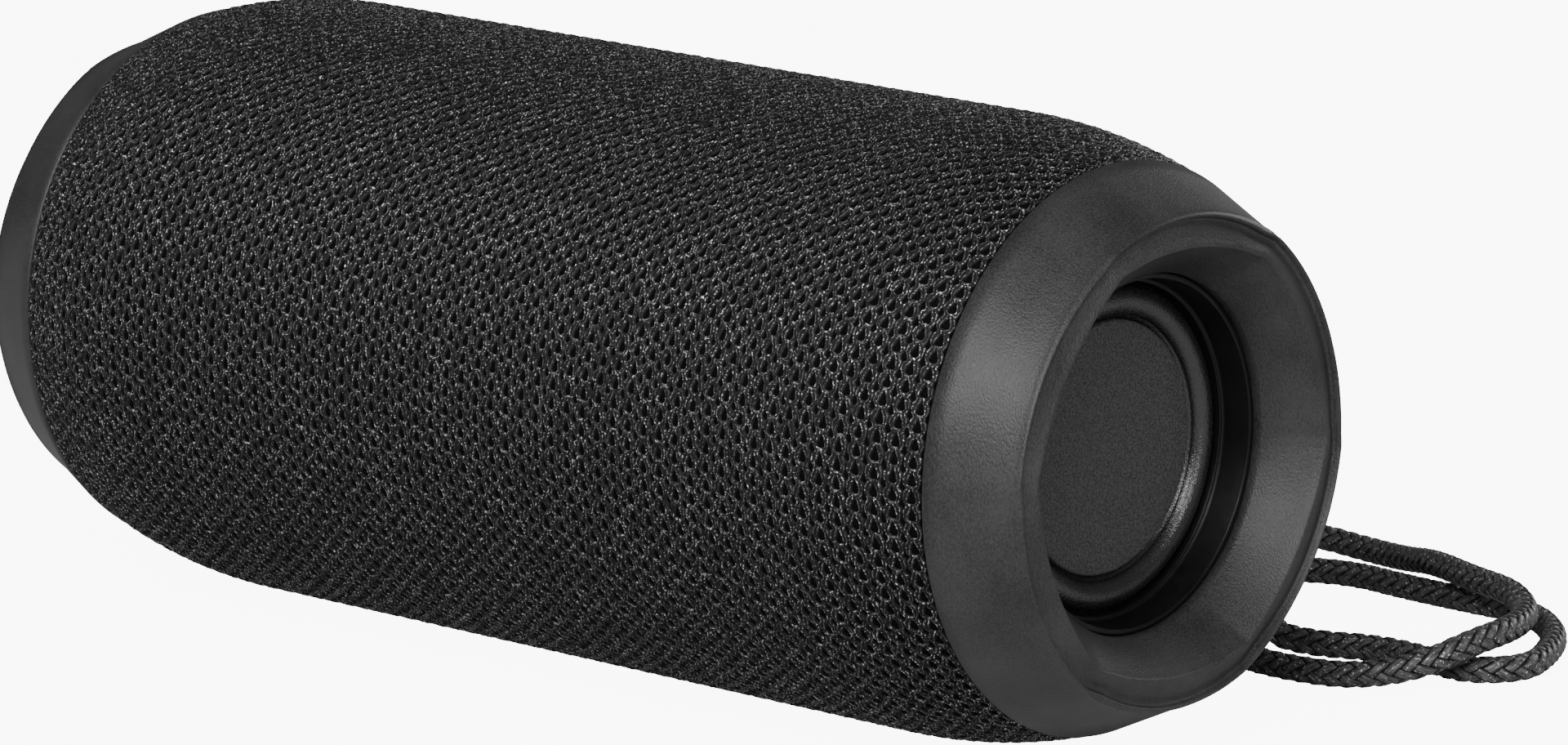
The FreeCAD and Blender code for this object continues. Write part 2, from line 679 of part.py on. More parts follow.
def make_port_cover():
    plate_block = box("cover_block", ("cover_length", "20", "2 * cover_half_width"),
                      ("cover_start", "socket_floor", "-cover_half_width"))
    plate = shell_sector("cover_plate", "cover_inner", "panel_outer", plate_block)
    link_block = box("cover_link", ("cover_length", "1.0", "1.2"),
                     ("cover_start", "hinge_y - 0.4", "hinge_z"))
    knuckle = rod("cover_knuckle", "knuckle_radius", "cover_length",
                  ("cover_start", "hinge_y", "hinge_z"), X_DIR)
    pull_tab = box("cover_tab", ("6", "0.9", "1.0"),
                   ("cover_start + cover_length / 2 - 3", "34.2", "cover_half_width - 1"))
    bore = rod("cover_bore", "hinge_pin_radius + 0.06", "cover_length + 2",
               ("cover_start - 1", "hinge_y", "hinge_z"), X_DIR)
    node(cut("cover", fuse("cover_solid", plate, link_block, knuckle, pull_tab), bore),
         "port_cover")
    node(rod("cover_pin", "hinge_pin_radius", "cover_length + 2.2",
             ("cover_start - 1.1", "hinge_y", "hinge_z"), X_DIR), "port_cover_pin")


def make_control_board():
    board = box("control_board_blank", ("95", "control_board_face - control_board_y", "16"),
                ("-52", "control_board_y", "-8"))
    jack_hole = rod("control_board_jack_hole", "3.4", "5", ("jack_x", "26", "0"), BACK)
    node(cut("control_board_cut", board, jack_hole), "control_board")
    switches = []
    for index in range(len(BUTTONS)):
        x = "button_first + %d * button_pitch" % index
        base = box("switch_base_%d" % index, ("6", "1.6", "6"),
                   (x + " - 3", "control_board_face", "-3"))
        plunger = rod("switch_plunger_%d" % index, "1.7", "0.7",
                      (x, "control_board_face + 1.6", "0"), BACK)
        switches.append(fuse("switch_%d" % index, base, plunger))
    node(group("switches", *switches), "tact_switches")
    usb_outer = rounded_slab("usb_outer", "4.5", "1.65", "1.5", "control_board_face", "4.9",
                             "usb_x")
    usb_inner = rounded_slab("usb_inner", "4.2", "1.3", "1.2", "control_board_face + 0.6", "6",
                             "usb_x")
    tongue = box("usb_tongue", ("6.6", "4.2", "0.7"),
                 ("usb_x - 3.3", "control_board_face + 0.3", "-0.35"))
    node(fuse("usb_socket", cut("usb_shell", usb_outer, usb_inner), tongue), "charging_port")
    jack = rod("jack_body", "3.2", "13.9", ("jack_x", "19.7", "0"), BACK)
    jack_bore = rod("jack_bore", "1.8", "13", ("jack_x", "21", "0"), BACK)
    node(cut("jack", jack, jack_bore), "audio_jack")
    node(rod("microphone_can", "1.5", "1.4", ("lamp_x", "control_board_face", "0"), BACK),
         "microphone")
    node(rod("lamp", "0.9", "6.3", ("lamp_x", "control_board_face", "lamp_z"), BACK),
         "status_light")


# --------------------------------------------------------------------------
# Electronics and battery
# --------------------------------------------------------------------------
def make_electronics():
    blank = box("main_board_blank", ("76", "board_back - board_y", "26"),
                ("-38", "board_y", "-7"))
    holes = [rod("board_hole_%d" % index, "1.0", "3", (x, "board_y - 1", z), BACK)
             for index, x, z in BOARD_FIXINGS]
    node(cut("main_board_cut", blank, *holes), "main_board")
    node(box("amplifier_body", ("9", "1.6", "9"), ("-20", "board_y - 1.6", "4")),
         "amplifier_chip")
    node(box("radio_body", ("14", "2.0", "12"), ("6", "board_y - 2.0", "2")),
         "bluetooth_module")
    capacitors = []
    for index, x in enumerate(("-8", "-2")):
        capacitors.append(rod("capacitor_%d" % index, "2.5", "7", (x, "board_y", "12"), FRONT))
    node(group("capacitor_pair", *capacitors), "capacitors")
    screws = [screw("board_screw_%d" % index, (x, "board_y", z), BACK)
              for index, x, z in BOARD_FIXINGS]
    node(group("board_screws", *screws), "board_screws")


def make_battery():
    cell = turned("battery_can", [
        ("-cell_length / 2", "0"), ("-cell_length / 2", "cell_radius - 0.6"),
        ("-cell_length / 2 + 0.6", "cell_radius"), ("cell_length / 2 - 1.6", "cell_radius"),
        ("cell_length / 2 - 1.0", "cell_radius - 0.8"), ("cell_length / 2 - 1.0", "3"),
        ("cell_length / 2", "3"), ("cell_length / 2", "0"),
    ])
    node(put(cell, "0", "cell_y", "cell_z"), "battery_cell")
    cradle_block = box("cradle_block", ("58", "16", "9"), ("-29", "cell_y - 8", "-27.6"))
    envelope = rod("cradle_envelope", "cabinet_inner", "58", ("-29", "0", "0"), X_DIR)
    scoop = rod("cradle_scoop", "cell_radius", "60", ("-30", "cell_y", "cell_z"), X_DIR)
    node(cut("cradle", common("cradle_fit", cradle_block, envelope), scoop), "battery_cradle")


# --------------------------------------------------------------------------
# Rubber foot and strap
# --------------------------------------------------------------------------
def make_foot():
    rails = [foot_rail("foot_rail_" + side, sign, "cloth_thickness + foot_proud")
             for side, sign in SIDES]
    node(group("foot_rails", *rails), "rubber_foot")


# Points of the strap's two loops: the hand end, where it lies doubled on the
# surface behind the right end, and the two ends of each in the anchor.
LOOP_INNER = [
    (47.8, 32.0, 37.6), (47.8, 42.5, 37.6), (46.5, 51.5, 34.0), (42.5, 56.5, 25.5),
    (36.5, 60.5, 15.5), (28.5, 65.0, 6.5), (20.0, 71.5, 1.8), (17.0, 81.0, 1.6),
    (22.5, 90.5, 1.6), (34.0, 92.5, 1.6), (45.0, 86.7, 2.2), (53.5, 81.0, 4.9),
    (61.0, 76.8, 5.2), (68.0, 73.0, 5.0), (75.0, 68.0, 5.0), (79.0, 60.5, 5.0),
    (78.6, 52.0, 5.0), (75.8, 45.6, 3.2), (69.5, 40.8, 1.6), (60.5, 39.0, 1.6),
    (51.5, 40.5, 1.6), (44.5, 43.5, 5.0), (42.8, 46.5, 13.5), (46.5, 47.5, 22.0),
    (50.8, 45.5, 29.5), (52.2, 40.5, 33.0), (52.2, 32.0, 33.0),
]
LOOP_OUTER = [
    (47.8, 32.0, 33.0), (47.8, 41.0, 33.0), (45.5, 47.5, 27.5), (42.0, 50.5, 18.5),
    (37.0, 53.5, 9.0), (30.5, 58.5, 2.2), (27.0, 66.5, 1.6), (29.5, 76.0, 1.6),
    (38.0, 80.9, 1.6), (47.5, 79.7, 1.6), (57.0, 79.4, 1.6), (66.5, 79.6, 1.6),
    (75.5, 73.5, 1.6), (80.0, 66.0, 1.6), (82.2, 58.5, 1.6), (77.3, 53.0, 1.6),
    (70.0, 53.6, 1.6), (63.0, 55.6, 1.6), (56.5, 52.8, 1.6), (50.6, 51.5, 2.8),
    (47.2, 51.5, 8.5), (47.8, 52.5, 16.5), (50.0, 52.5, 25.0), (51.8, 49.0, 33.0),
    (52.2, 42.0, 37.6), (52.2, 32.0, 37.6),
]


def cord_tube(name, points):
    """A round cord along straight runs joined by tangent arcs; its ends are flat."""
    corners = [Vector(*point) for point in points]
    edges = []
    radii = []
    here = corners[0]
    for before, corner, after in zip(corners, corners[1:], corners[2:]):
        back = (before - corner).normalize()
        ahead = (after - corner).normalize()
        turn = math.pi - back.getAngle(ahead)
        reach = 0.45 * min((before - corner).Length, (after - corner).Length)
        radius = reach / math.tan(turn / 2)
        start = corner + back * reach
        end = corner + ahead * reach
        inward = (back + ahead).normalize()
        middle = corner + inward * (radius / math.cos(turn / 2) - radius)
        edges.append(Part.LineSegment(here, start).toShape())
        edges.append(Part.Arc(start, middle, end).toShape())
        radii.append(round(radius, 1))
        here = end
    edges.append(Part.LineSegment(here, corners[-1]).toShape())
    path = Part.Wire(edges)
    cord_radius = number("cord_radius")
    section = Part.Wire(Part.Circle(corners[0], corners[1] - corners[0], cord_radius).toShape())
    tube = path.makePipeShell([section], True, False)
    expected = math.pi * cord_radius ** 2 * path.Length
    print("%s: length %.1f, volume %.0f of %.0f, radii %s"
          % (name, path.Length, tube.Volume, expected, radii))
    made = doc.addObject("Part::Feature", name)
    made.Shape = tube
    return node(made, name)


def make_strap():
    block = box("anchor_block", ("2 * anchor_half_x", "9.6", "2 * anchor_half_z"),
                ("anchor_x - anchor_half_x", "anchor_inner", "-anchor_half_z"))
    sockets = []
    for i in (-1, 1):
        for j in (-1, 1):
            sockets.append(rod("anchor_socket_%d_%d" % (i, j), "cord_radius + 0.05", "6",
                               ("anchor_x + %d * anchor_pitch_half_x" % i, "32",
                                "%d * anchor_pitch_half_z" % j), BACK))
    node(cut("anchor", block, *sockets), "strap_anchor")
    cord_tube("strap_inner_loop", LOOP_INNER)
    cord_tube("strap_outer_loop", LOOP_OUTER)


# --------------------------------------------------------------------------
# Build, check and write
# --------------------------------------------------------------------------
def check():
    doc.recompute()
    problems = []
    for thing in doc.Objects:
        if "Invalid" in thing.State or "Error" in thing.State:
            problems.append("%s is %s" % (thing.Name, thing.State))
    for thing in nodes:
        if thing.Shape.isNull() or not thing.Shape.isValid() or not thing.Shape.Solids:
            problems.append("%s has no valid solid" % thing.Label)
    if problems:
        raise RuntimeError("; ".join(problems))


def write():
    os.makedirs("parts", exist_ok=True)
    for thing in nodes:
        thing.Shape.exportStep("parts/%s.step" % thing.Label)
        print("%-24s %2d solid(s) %9.1f mm3" % (thing.Label, len(thing.Shape.Solids),
                                                thing.Shape.Volume))


make_skin()
for side_name, side_sign in SIDES:
    make_collar(side_name, side_sign)
    make_radiator(side_name, side_sign)
make_cabinet()
for side_name, side_sign in SIDES:
    make_driver(side_name, side_sign)
make_panel()
make_buttons()
make_port_cover()
make_control_board()
make_electronics()
make_battery()
make_foot()
make_strap()
check()
write()
print(len(nodes), "nodes")
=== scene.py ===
"""Looks of the portable bluetooth speaker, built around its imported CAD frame.

The cylinder's axis runs along X at AXIS_Z above the floor, the drivers face -Y and
the button panel and strap are at +Y.  Shapes are worked out in millimetres and
turned into metres where the meshes are made.
"""
import math

import bmesh
import bpy
import numpy as np
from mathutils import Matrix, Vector


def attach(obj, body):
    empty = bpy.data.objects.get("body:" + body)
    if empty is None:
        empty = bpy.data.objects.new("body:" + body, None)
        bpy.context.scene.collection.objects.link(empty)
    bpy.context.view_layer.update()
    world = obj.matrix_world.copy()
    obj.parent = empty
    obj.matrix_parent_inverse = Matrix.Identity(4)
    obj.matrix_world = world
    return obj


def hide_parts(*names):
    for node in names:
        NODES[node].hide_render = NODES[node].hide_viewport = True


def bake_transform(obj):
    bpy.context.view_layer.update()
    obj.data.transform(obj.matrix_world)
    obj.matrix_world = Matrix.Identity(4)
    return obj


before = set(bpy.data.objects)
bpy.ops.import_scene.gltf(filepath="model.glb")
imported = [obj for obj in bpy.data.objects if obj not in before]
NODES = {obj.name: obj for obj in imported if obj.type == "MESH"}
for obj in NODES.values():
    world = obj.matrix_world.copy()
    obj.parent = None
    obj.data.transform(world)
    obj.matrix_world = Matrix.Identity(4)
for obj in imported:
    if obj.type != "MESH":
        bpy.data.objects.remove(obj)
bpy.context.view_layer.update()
MM = 0.001
AXIS_Z = 35.3                     # height of the body's axis
BODY_RADIUS = 35.0                # to the cloth's surface
STRAIGHT = 49.5                   # half the length of the body's straight part
BEND = 61.0                       # radius of the outline where it draws in at the ends
DRIVER_X = 29.0                   # each driver's distance from the middle
BACK_Y = 35.6                     # the button panel's outer face
SIDES = (("left", -1), ("right", 1))

# --------------------------------------------------------------------------
# Camera
# --------------------------------------------------------------------------
camera_data = bpy.data.cameras.new("camera")
camera_data.lens = 214.25
camera_data.sensor_width = 36.0
camera_data.clip_start = 0.05
camera_data.clip_end = 20.0
camera = bpy.data.objects.new("camera", camera_data)
camera.location = (0.70176, -0.76456, 0.26594)
camera.rotation_mode = "QUATERNION"
camera.rotation_quaternion = Vector((-0.649098, 0.728663, -0.218454)).to_track_quat("-Z", "Y")
bpy.context.scene.collection.objects.link(camera)
bpy.context.scene.camera = camera


# --------------------------------------------------------------------------
# Meshes
# --------------------------------------------------------------------------
def make_mesh(name, points, faces, uv=None):
    """points are (n, 3) in millimetres; faces is a list of index arrays, each (k, corners)."""
    mesh = bpy.data.meshes.new(name)
    faces = [np.asarray(group, np.int32) for group in faces if len(group)]
    loops = np.concatenate([group.ravel() for group in faces])
    sizes = np.concatenate([np.full(len(group), group.shape[1]) for group in faces])
    starts = np.concatenate([[0], np.cumsum(sizes)[:-1]]).astype(np.int32)
    mesh.vertices.add(len(points))
    mesh.vertices.foreach_set("co", (np.asarray(points, float) * MM).astype(np.float32).ravel())
    mesh.loops.add(len(loops))
    mesh.loops.foreach_set("vertex_index", loops)
    mesh.polygons.add(len(sizes))
    mesh.polygons.foreach_set("loop_start", starts)
    mesh.polygons.foreach_set("use_smooth", np.ones(len(sizes), bool))
    if uv is not None:
        layer = mesh.uv_layers.new(name="strand")
        layer.data.foreach_set("uv", np.asarray(uv, np.float32)[loops].ravel())
    mesh.update(calc_edges=True)
    made = bpy.data.objects.new(name, mesh)
    bpy.context.scene.collection.objects.link(made)
    return made


def join_arrays(parts):
    """Several (points, faces, uv) as one, with the faces' indices moved along."""
    points, uvs, groups, base = [], [], {}, 0
    for part_points, part_faces, part_uv in parts:
        for group in part_faces:
            groups.setdefault(group.shape[1], []).append(group + base)
        points.append(part_points)
        uvs.append(part_uv)
        base += len(part_points)
    return np.concatenate(points), [np.concatenate(g) for g in groups.values()], np.concatenate(uvs)


def sweep(centre, side, up, section):
    """A closed tube along centre; section is (k, 2) along side and up, anticlockwise."""
    n, k = len(centre), len(section)
    section = np.asarray(section, float)
    points = (centre[:, None] + side[:, None] * section[None, :, :1]
              + up[:, None] * section[None, :, 1:]).reshape(-1, 3)
    ring = np.arange(k)
    along = np.arange(n - 1)[:, None] * k
    quads = np.stack([along + ring, along + (ring + 1) % k,
                      along + k + (ring + 1) % k, along + k + ring], -1).reshape(-1, 4)
    caps = np.stack([ring[::-1], (n - 1) * k + ring])
    distance = np.concatenate([[0], np.cumsum(np.linalg.norm(np.diff(centre, axis=0), axis=1))])
    uv = np.stack([np.tile(ring / k, n), np.repeat(distance, k)], -1)
    return points, [quads, caps], uv


def lathe(name, stations, columns):
    """A closed ring turned about the X axis.  Each station is (along, radius), and either
    may be an array over the columns, which start at +Y and go towards +Z."""
    angle = np.linspace(0, 2 * math.pi, columns, endpoint=False)
    rows = []
    for along, radius in stations:
        rows.append(np.stack([np.broadcast_to(along, angle.shape), radius * np.cos(angle),
                              radius * np.sin(angle) + AXIS_Z], -1))
    return ring_mesh(name, np.concatenate(rows), len(stations), columns)


def ring_mesh(name, points, stations, columns):
    """A closed ring whose points come station by station, columns to each."""
    i, j = np.meshgrid(np.arange(stations), np.arange(columns), indexing="ij")
    following = (i + 1) % stations
    quads = np.stack([i * columns + j, i * columns + (j + 1) % columns,
                      following * columns + (j + 1) % columns, following * columns + j], -1)
    made = make_mesh(name, points, [quads.reshape(-1, 4)])
    outward(made)
    return made


def closed_lathe(name, stations, columns):
    """A solid turned about the X axis whose first and last stations lie on that axis."""
    angle = np.linspace(0, 2 * math.pi, columns, endpoint=False)
    inner = stations[1:-1]
    points = [np.stack([np.full(columns, along), radius * np.cos(angle),
                        radius * np.sin(angle) + AXIS_Z], -1) for along, radius in inner]
    poles = np.array([(stations[0][0], 0.0, AXIS_Z), (stations[-1][0], 0.0, AXIS_Z)])
    points = np.concatenate(points + [poles])
    i, j = np.meshgrid(np.arange(len(inner) - 1), np.arange(columns), indexing="ij")
    a, b = i * columns + j, i * columns + (j + 1) % columns
    quads = np.stack([a, b, b + columns, a + columns], -1).reshape(-1, 4)
    ring, last = np.arange(columns), (len(inner) - 1) * columns
    first_pole, last_pole = len(inner) * columns, len(inner) * columns + 1
    fans = np.concatenate([
        np.stack([(ring + 1) % columns, ring, np.full(columns, first_pole)], -1),
        np.stack([last + ring, last + (ring + 1) % columns, np.full(columns, last_pole)], -1)])
    made = make_mesh(name, points, [quads, fans])
    outward(made)
    return made


def outward(made):
    """Turn every face of a closed mesh outwards."""
    work = bmesh.new()
    work.from_mesh(made.data)
    bmesh.ops.recalc_face_normals(work, faces=work.faces)
    work.to_mesh(made.data)
    work.free()


def taper(x, inset=0.0):
    """Radius of the body's outline at x, inset below the cloth's surface."""
    beyond = np.maximum(np.abs(x) - STRAIGHT, 0)
    return BODY_RADIUS - BEND + np.sqrt((BEND - inset) ** 2 - beyond ** 2)


# --------------------------------------------------------------------------
# Strap cords: control points of two smooth NURBS lines, which leave the panel
# side by side, lie on the floor and cross near their far ends
# --------------------------------------------------------------------------
LOOP_INNER = [
    (47.8, 32.0, 37.6), (47.8, 42.5, 37.6), (46.5, 51.5, 34.0), (42.5, 56.5, 25.5),
    (36.5, 60.5, 15.5), (28.5, 65.0, 6.5), (20.0, 71.5, 1.8), (17.0, 80.6, 1.6),
    (23.8, 90.0, 2.7), (33.5, 90.9, 1.7), (42.6, 86.7, 2.8), (50.4, 81.4, 4.8),
    (59.9, 76.4, 5.3), (68.4, 73.3, 5.6), (74.7, 67.8, 5.1), (78.6, 59.9, 5.6),
    (78.8, 51.6, 5.4), (75.9, 45.6, 3.2), (69.4, 42.0, 1.7), (60.8, 40.6, 1.6),
    (51.4, 41.4, 1.7), (44.5, 43.9, 5.0), (42.8, 46.5, 13.5), (46.5, 47.5, 22.0),
    (50.8, 45.5, 29.5), (52.2, 40.5, 33.0), (52.2, 32.0, 33.0),
]
LOOP_OUTER = [
    (47.8, 32.0, 33.0), (47.8, 41.0, 33.0), (45.5, 47.5, 27.5), (42.0, 50.5, 18.5),
    (37.0, 53.5, 9.0), (30.5, 58.5, 2.2), (27.0, 66.5, 1.6), (29.5, 76.0, 1.6),
    (38.0, 80.9, 1.6), (47.5, 79.7, 1.6), (57.0, 79.4, 1.6), (66.5, 79.6, 1.6),
    (74.9, 73.0, 1.6), (79.3, 65.4, 1.6), (81.6, 58.5, 1.6), (77.3, 53.0, 1.6),
    (70.0, 54.4, 1.6), (63.0, 54.6, 1.6), (56.5, 51.3, 1.6), (50.6, 49.9, 2.3),
    (47.2, 51.5, 8.5), (47.8, 52.5, 16.5), (50.0, 52.5, 25.0), (51.8, 49.0, 33.0),
    (52.2, 42.0, 37.6), (52.2, 32.0, 37.6),
]
CORE_RADIUS = 1.16                # of the plain cord under the braid
LINE_STEP = 0.35


def cord_curve(name, points):
    data = bpy.data.curves.new(name, "CURVE")
    data.dimensions = "3D"
    data.resolution_u = 12
    spline = data.splines.new("NURBS")
    spline.points.add(len(points) - 1)
    for at, point in zip(spline.points, points):
        at.co = (point[0] * MM, point[1] * MM, point[2] * MM, 1.0)
    spline.order_u = 3
    spline.use_endpoint_u = True
    made = bpy.data.objects.new(name, data)
    bpy.context.scene.collection.objects.link(made)
    return made


def line_of(curve):
    """The spline's own line, in millimetres, at even steps."""
    bpy.context.view_layer.update()
    graph = bpy.context.evaluated_depsgraph_get()
    mesh = bpy.data.meshes.new_from_object(curve.evaluated_get(graph))
    points = np.array([v.co for v in mesh.vertices], float) / MM
    bpy.data.meshes.remove(mesh)
    distance = np.concatenate([[0], np.cumsum(np.linalg.norm(np.diff(points, axis=0), axis=1))])
    even = np.linspace(0, distance[-1], int(distance[-1] / LINE_STEP))
    return even, np.stack([np.interp(even, distance, points[:, k]) for k in range(3)], -1)


def carried_frames(line):
    """Tangent and two directions across it, carried along without twisting."""
    tangent = np.gradient(line, axis=0)
    tangent /= np.linalg.norm(tangent, axis=1)[:, None]
    across = np.zeros_like(line)
    across[0] = np.cross(tangent[0], (0.0, 0.0, 1.0))
    for k in range(len(line)):
        before = across[max(k - 1, 0)]
        across[k] = before - tangent[k] * (before @ tangent[k])
        across[k] /= np.linalg.norm(across[k])
    return tangent, across, np.cross(tangent, across)


def braid(name, curve):
    """Twelve flat strands over the cord's core, six each way round it, passing over
    and under one another so that the crossings stand in columns of slanting stitches."""
    strands, lay, mean_radius, lift = 6, 12.0, 1.17, 0.17
    half_width, half_thick = 0.66, 0.27
    distance, line = line_of(curve)
    tangent, across, over = carried_frames(line)
    turn = np.linspace(0, 2 * math.pi, 6, endpoint=False)
    section = np.stack([half_width * np.cos(turn), half_thick * np.sin(turn)], -1)
    parts = []
    for way in (1, -1):
        for index in range(strands):
            angle = 2 * math.pi * (index / strands + way * distance / lay)
            rise = way * np.cos(math.pi * (index + way * distance / 2) - math.pi / 4)
            out = across * np.cos(angle)[:, None] + over * np.sin(angle)[:, None]
            centre = line + out * (mean_radius + lift * rise)[:, None]
            direction = np.gradient(centre, axis=0)
            direction /= np.linalg.norm(direction, axis=1)[:, None]
            up = out - direction * (out * direction).sum(1)[:, None]
            up /= np.linalg.norm(up, axis=1)[:, None]
            parts.append(sweep(centre, np.cross(up, direction), up, section))
    points, faces, uv = join_arrays(parts)
    made = make_mesh(name, points, faces, uv)
    outward(made)
    return made


cords = {}
for loop, route in (("inner", LOOP_INNER), ("outer", LOOP_OUTER)):
    core = cord_curve("strap_core_" + loop, route)
    cover = braid("strap_braid_" + loop, core)
    core.data.bevel_depth = CORE_RADIUS * MM
    core.data.bevel_resolution = 3
    core.data.use_fill_caps = True
    cords[loop] = (core, cover)


# --------------------------------------------------------------------------
# Materials
# --------------------------------------------------------------------------
# Bright base colour of the painted glints on the yarn and strap crests.
PAINTED_GLINT_COLOUR = (0.8, 0.8, 0.81, 1.0)


class Shader:
    """A Principled material and short ways to add the nodes that feed it."""

    def __init__(self, name, **values):
        self.material = bpy.data.materials.new(name)
        self.material.use_nodes = True
        self.tree = self.material.node_tree
        self.surface = self.tree.nodes["Principled BSDF"]
        for socket, value in values.items():
            self.surface.inputs[socket.replace("_", " ")].default_value = value
        self.place = self.add("TexCoord").outputs["Object"]

    def add(self, kind, settings=None, **inputs):
        made = self.tree.nodes.new("ShaderNode" + kind)
        for key, value in (settings or {}).items():
            setattr(made, key, value)
        for key, value in inputs.items():
            socket = made.inputs[int(key[1:])] if key[0] == "i" and key[1:].isdigit() \
                else made.inputs[key]
            if isinstance(value, bpy.types.NodeSocket):
                self.tree.links.new(value, socket)
            else:
                socket.default_value = value
        return made

    def stretched(self, x, y, z):
        return self.add("Mapping", Vector=self.place, Scale=(x, y, z)).outputs[0]

    def noise(self, size, detail=2.0, rough=0.5, place=None):
        """Noise whose blobs are about size millimetres across."""
        return self.add("TexNoise", Vector=place or self.place, Scale=1.0 / (size * MM),
                        Detail=detail, Roughness=rough).outputs["Fac"]

    def cells(self, size):
        return self.add("TexVoronoi", Vector=self.place,
                        Scale=1.0 / (size * MM)).outputs["Distance"]

    def spread(self, value, low, high, to_low=0.0, to_high=1.0):
        return self.add("MapRange", i0=value, i1=low, i2=high, i3=to_low, i4=to_high).outputs[0]

    def math(self, operation, a, b=0.0):
        return self.add("Math", {"operation": operation}, i0=a, i1=b).outputs[0]

    def crest(self, strand, power):
        """One at a quarter and at three quarters across each strand, nothing at its
        edges and middle.  It places the painted highlights and glints on yarn crests."""
        across = self.add("SeparateXYZ", Vector=strand).outputs["X"]
        swing = self.math("SINE", self.math("MULTIPLY", across, 2 * math.pi))
        return self.math("POWER", self.math("ABSOLUTE", swing), power)

    def painted_glint(self, size, rarity, crest):
        """Small spots along the crests where bright glints are painted."""
        spots = self.spread(self.noise(size, 1.0, 0.5), rarity, rarity + 0.02)
        return self.math("MULTIPLY", spots, crest)

    def colour_with_painted_glints(self, dark, painted_glint, metallic):
        """The dark colour, turning to a bright colour where glint is one: painted glints, whose
        metallic part is real reflection.
        """
        mixed = self.add("Mix", {"data_type": "RGBA"}, i0=painted_glint, i6=dark, i7=PAINTED_GLINT_COLOUR)
        self.colour(mixed.outputs[2])
        self.tree.links.new(self.math("MULTIPLY", painted_glint, metallic),
                            self.surface.inputs["Metallic"])

    def colours(self, value, *stops):
        ramp = self.add("ValToRGB", Fac=value)
        band = ramp.color_ramp
        while len(band.elements) < len(stops):
            band.elements.new(0.5)
        for element, (at, colour) in zip(band.elements, stops):
            element.position = at
            element.color = (*colour, 1.0) if isinstance(colour, tuple) \
                else (colour, colour, colour, 1.0)
        return ramp.outputs["Color"]

    def colour(self, socket):
        self.tree.links.new(socket, self.surface.inputs["Base Color"])

    def rough(self, socket):
        self.tree.links.new(socket, self.surface.inputs["Roughness"])

    def bump(self, height, depth):
        """depth is the relief in millimetres for a height of one."""
        made = self.add("Bump", Height=height, Distance=depth * MM, Strength=1.0)
        self.tree.links.new(made.outputs[0], self.surface.inputs["Normal"])


def moulded(name, low, high, roughness, grain=0.25, depth=0.01, specular=0.4, **values):
    """Moulded plastic or rubber: faint mottling, fine grain and a little wear."""
    made = Shader(name, Specular_IOR_Level=specular, **values)
    made.colour(made.colours(made.noise(6.0, 4.0), (0.3, low), (0.7, high)))
    made.rough(made.spread(made.noise(1.5, 3.0), 0.3, 0.7, roughness - 0.06, roughness + 0.06))
    made.bump(made.noise(grain, 3.0, 0.6), depth)
    return made.material


def make_collar_material():
    made = Shader("collar_soft_touch", Specular_IOR_Level=0.5)
    grain = made.noise(0.20, 2.0, 0.6, made.stretched(1.0, 1.0, 0.6))
    mottle = made.math("ADD", made.math("MULTIPLY", made.noise(9.0, 4.0), 0.4),
                       made.math("MULTIPLY", grain, 0.6))
    made.colour(made.colours(mottle, (0.38, 0.015), (0.62, 0.046)))
    made.rough(made.spread(grain, 0.3, 0.7, 0.38, 0.52))
    made.bump(grain, 0.07)
    return made.material


def make_yarn_material():
    """Black filament yarn.  Across a rib the strand coordinate goes from one whole
    number to the next, with a yarn's crest at a quarter and at three quarters.
    The crests get a painted highlight and painted glints."""
    made = Shader("knit_yarn", Specular_IOR_Level=0.35)
    at = made.add("UVMap", {"uv_map": "strand"}).outputs[0]
    crest = made.crest(at, 5.0)
    turned = made.add("Mapping", Vector=at, Rotation=(0.0, 0.0, 0.30), Scale=(9.0, 1.9, 1.0))
    streak = made.add("TexNoise", Vector=turned.outputs[0], Scale=1.0, Detail=2.0,
                      Roughness=0.6).outputs["Fac"]
    # Painted glints and a painted highlight: the black yarn is lighter along each crest, streaky
    # along the fibres, with bright spots.
    painted_glint = made.painted_glint(0.24, 0.63, crest)
    painted_highlight = made.math("MULTIPLY", crest, made.spread(streak, 0.42, 0.62, 0.04, 1.0))
    dark = made.colours(painted_highlight, (0.0, 0.001), (0.3, 0.003), (1.0, 0.155))
    made.colour_with_painted_glints(dark, painted_glint, 0.85)
    made.rough(made.spread(painted_highlight, 0.0, 0.8, 0.70, 0.28))
    made.bump(streak, 0.10)
    return made.material


def make_backing_material():
    made = Shader("cloth_backing", Specular_IOR_Level=0.1)
    made.colour(made.colours(made.noise(0.5, 2.0), (0.3, 0.0012), (0.7, 0.0025)))
    made.rough(made.spread(made.noise(0.3), 0.3, 0.7, 0.8, 0.95))
    made.bump(made.cells(0.35), 0.06)
    return made.material


def make_cord_material():
    """Strap yarn with a painted highlight across each strand's faces, so that it is darker towards
    the strand's edges.
    """
    made = Shader("strap_yarn", Specular_IOR_Level=0.5)
    at = made.add("UVMap", {"uv_map": "strand"}).outputs[0]
    fibre = made.add("TexNoise", Vector=made.add("Mapping", Vector=at,
                                                 Scale=(22.0, 0.9, 1.0)).outputs[0],
                     Scale=1.0, Detail=2.0).outputs["Fac"]
    crest = made.crest(at, 2.0)
    # Painted highlight across each strand and painted glints on it; the near-black at the strand's
    # edges is the yarn's own colour.
    painted_highlight = made.math("MULTIPLY", crest, made.spread(fibre, 0.35, 0.65, 0.15, 1.0))
    painted_glint = made.painted_glint(0.32, 0.66, crest)
    dark = made.colours(painted_highlight, (0.0, 0.002), (1.0, 0.15))
    made.colour_with_painted_glints(dark, painted_glint, 0.6)
    made.rough(made.spread(fibre, 0.3, 0.7, 0.52, 0.30))
    made.bump(fibre, 0.05)
    return made.material


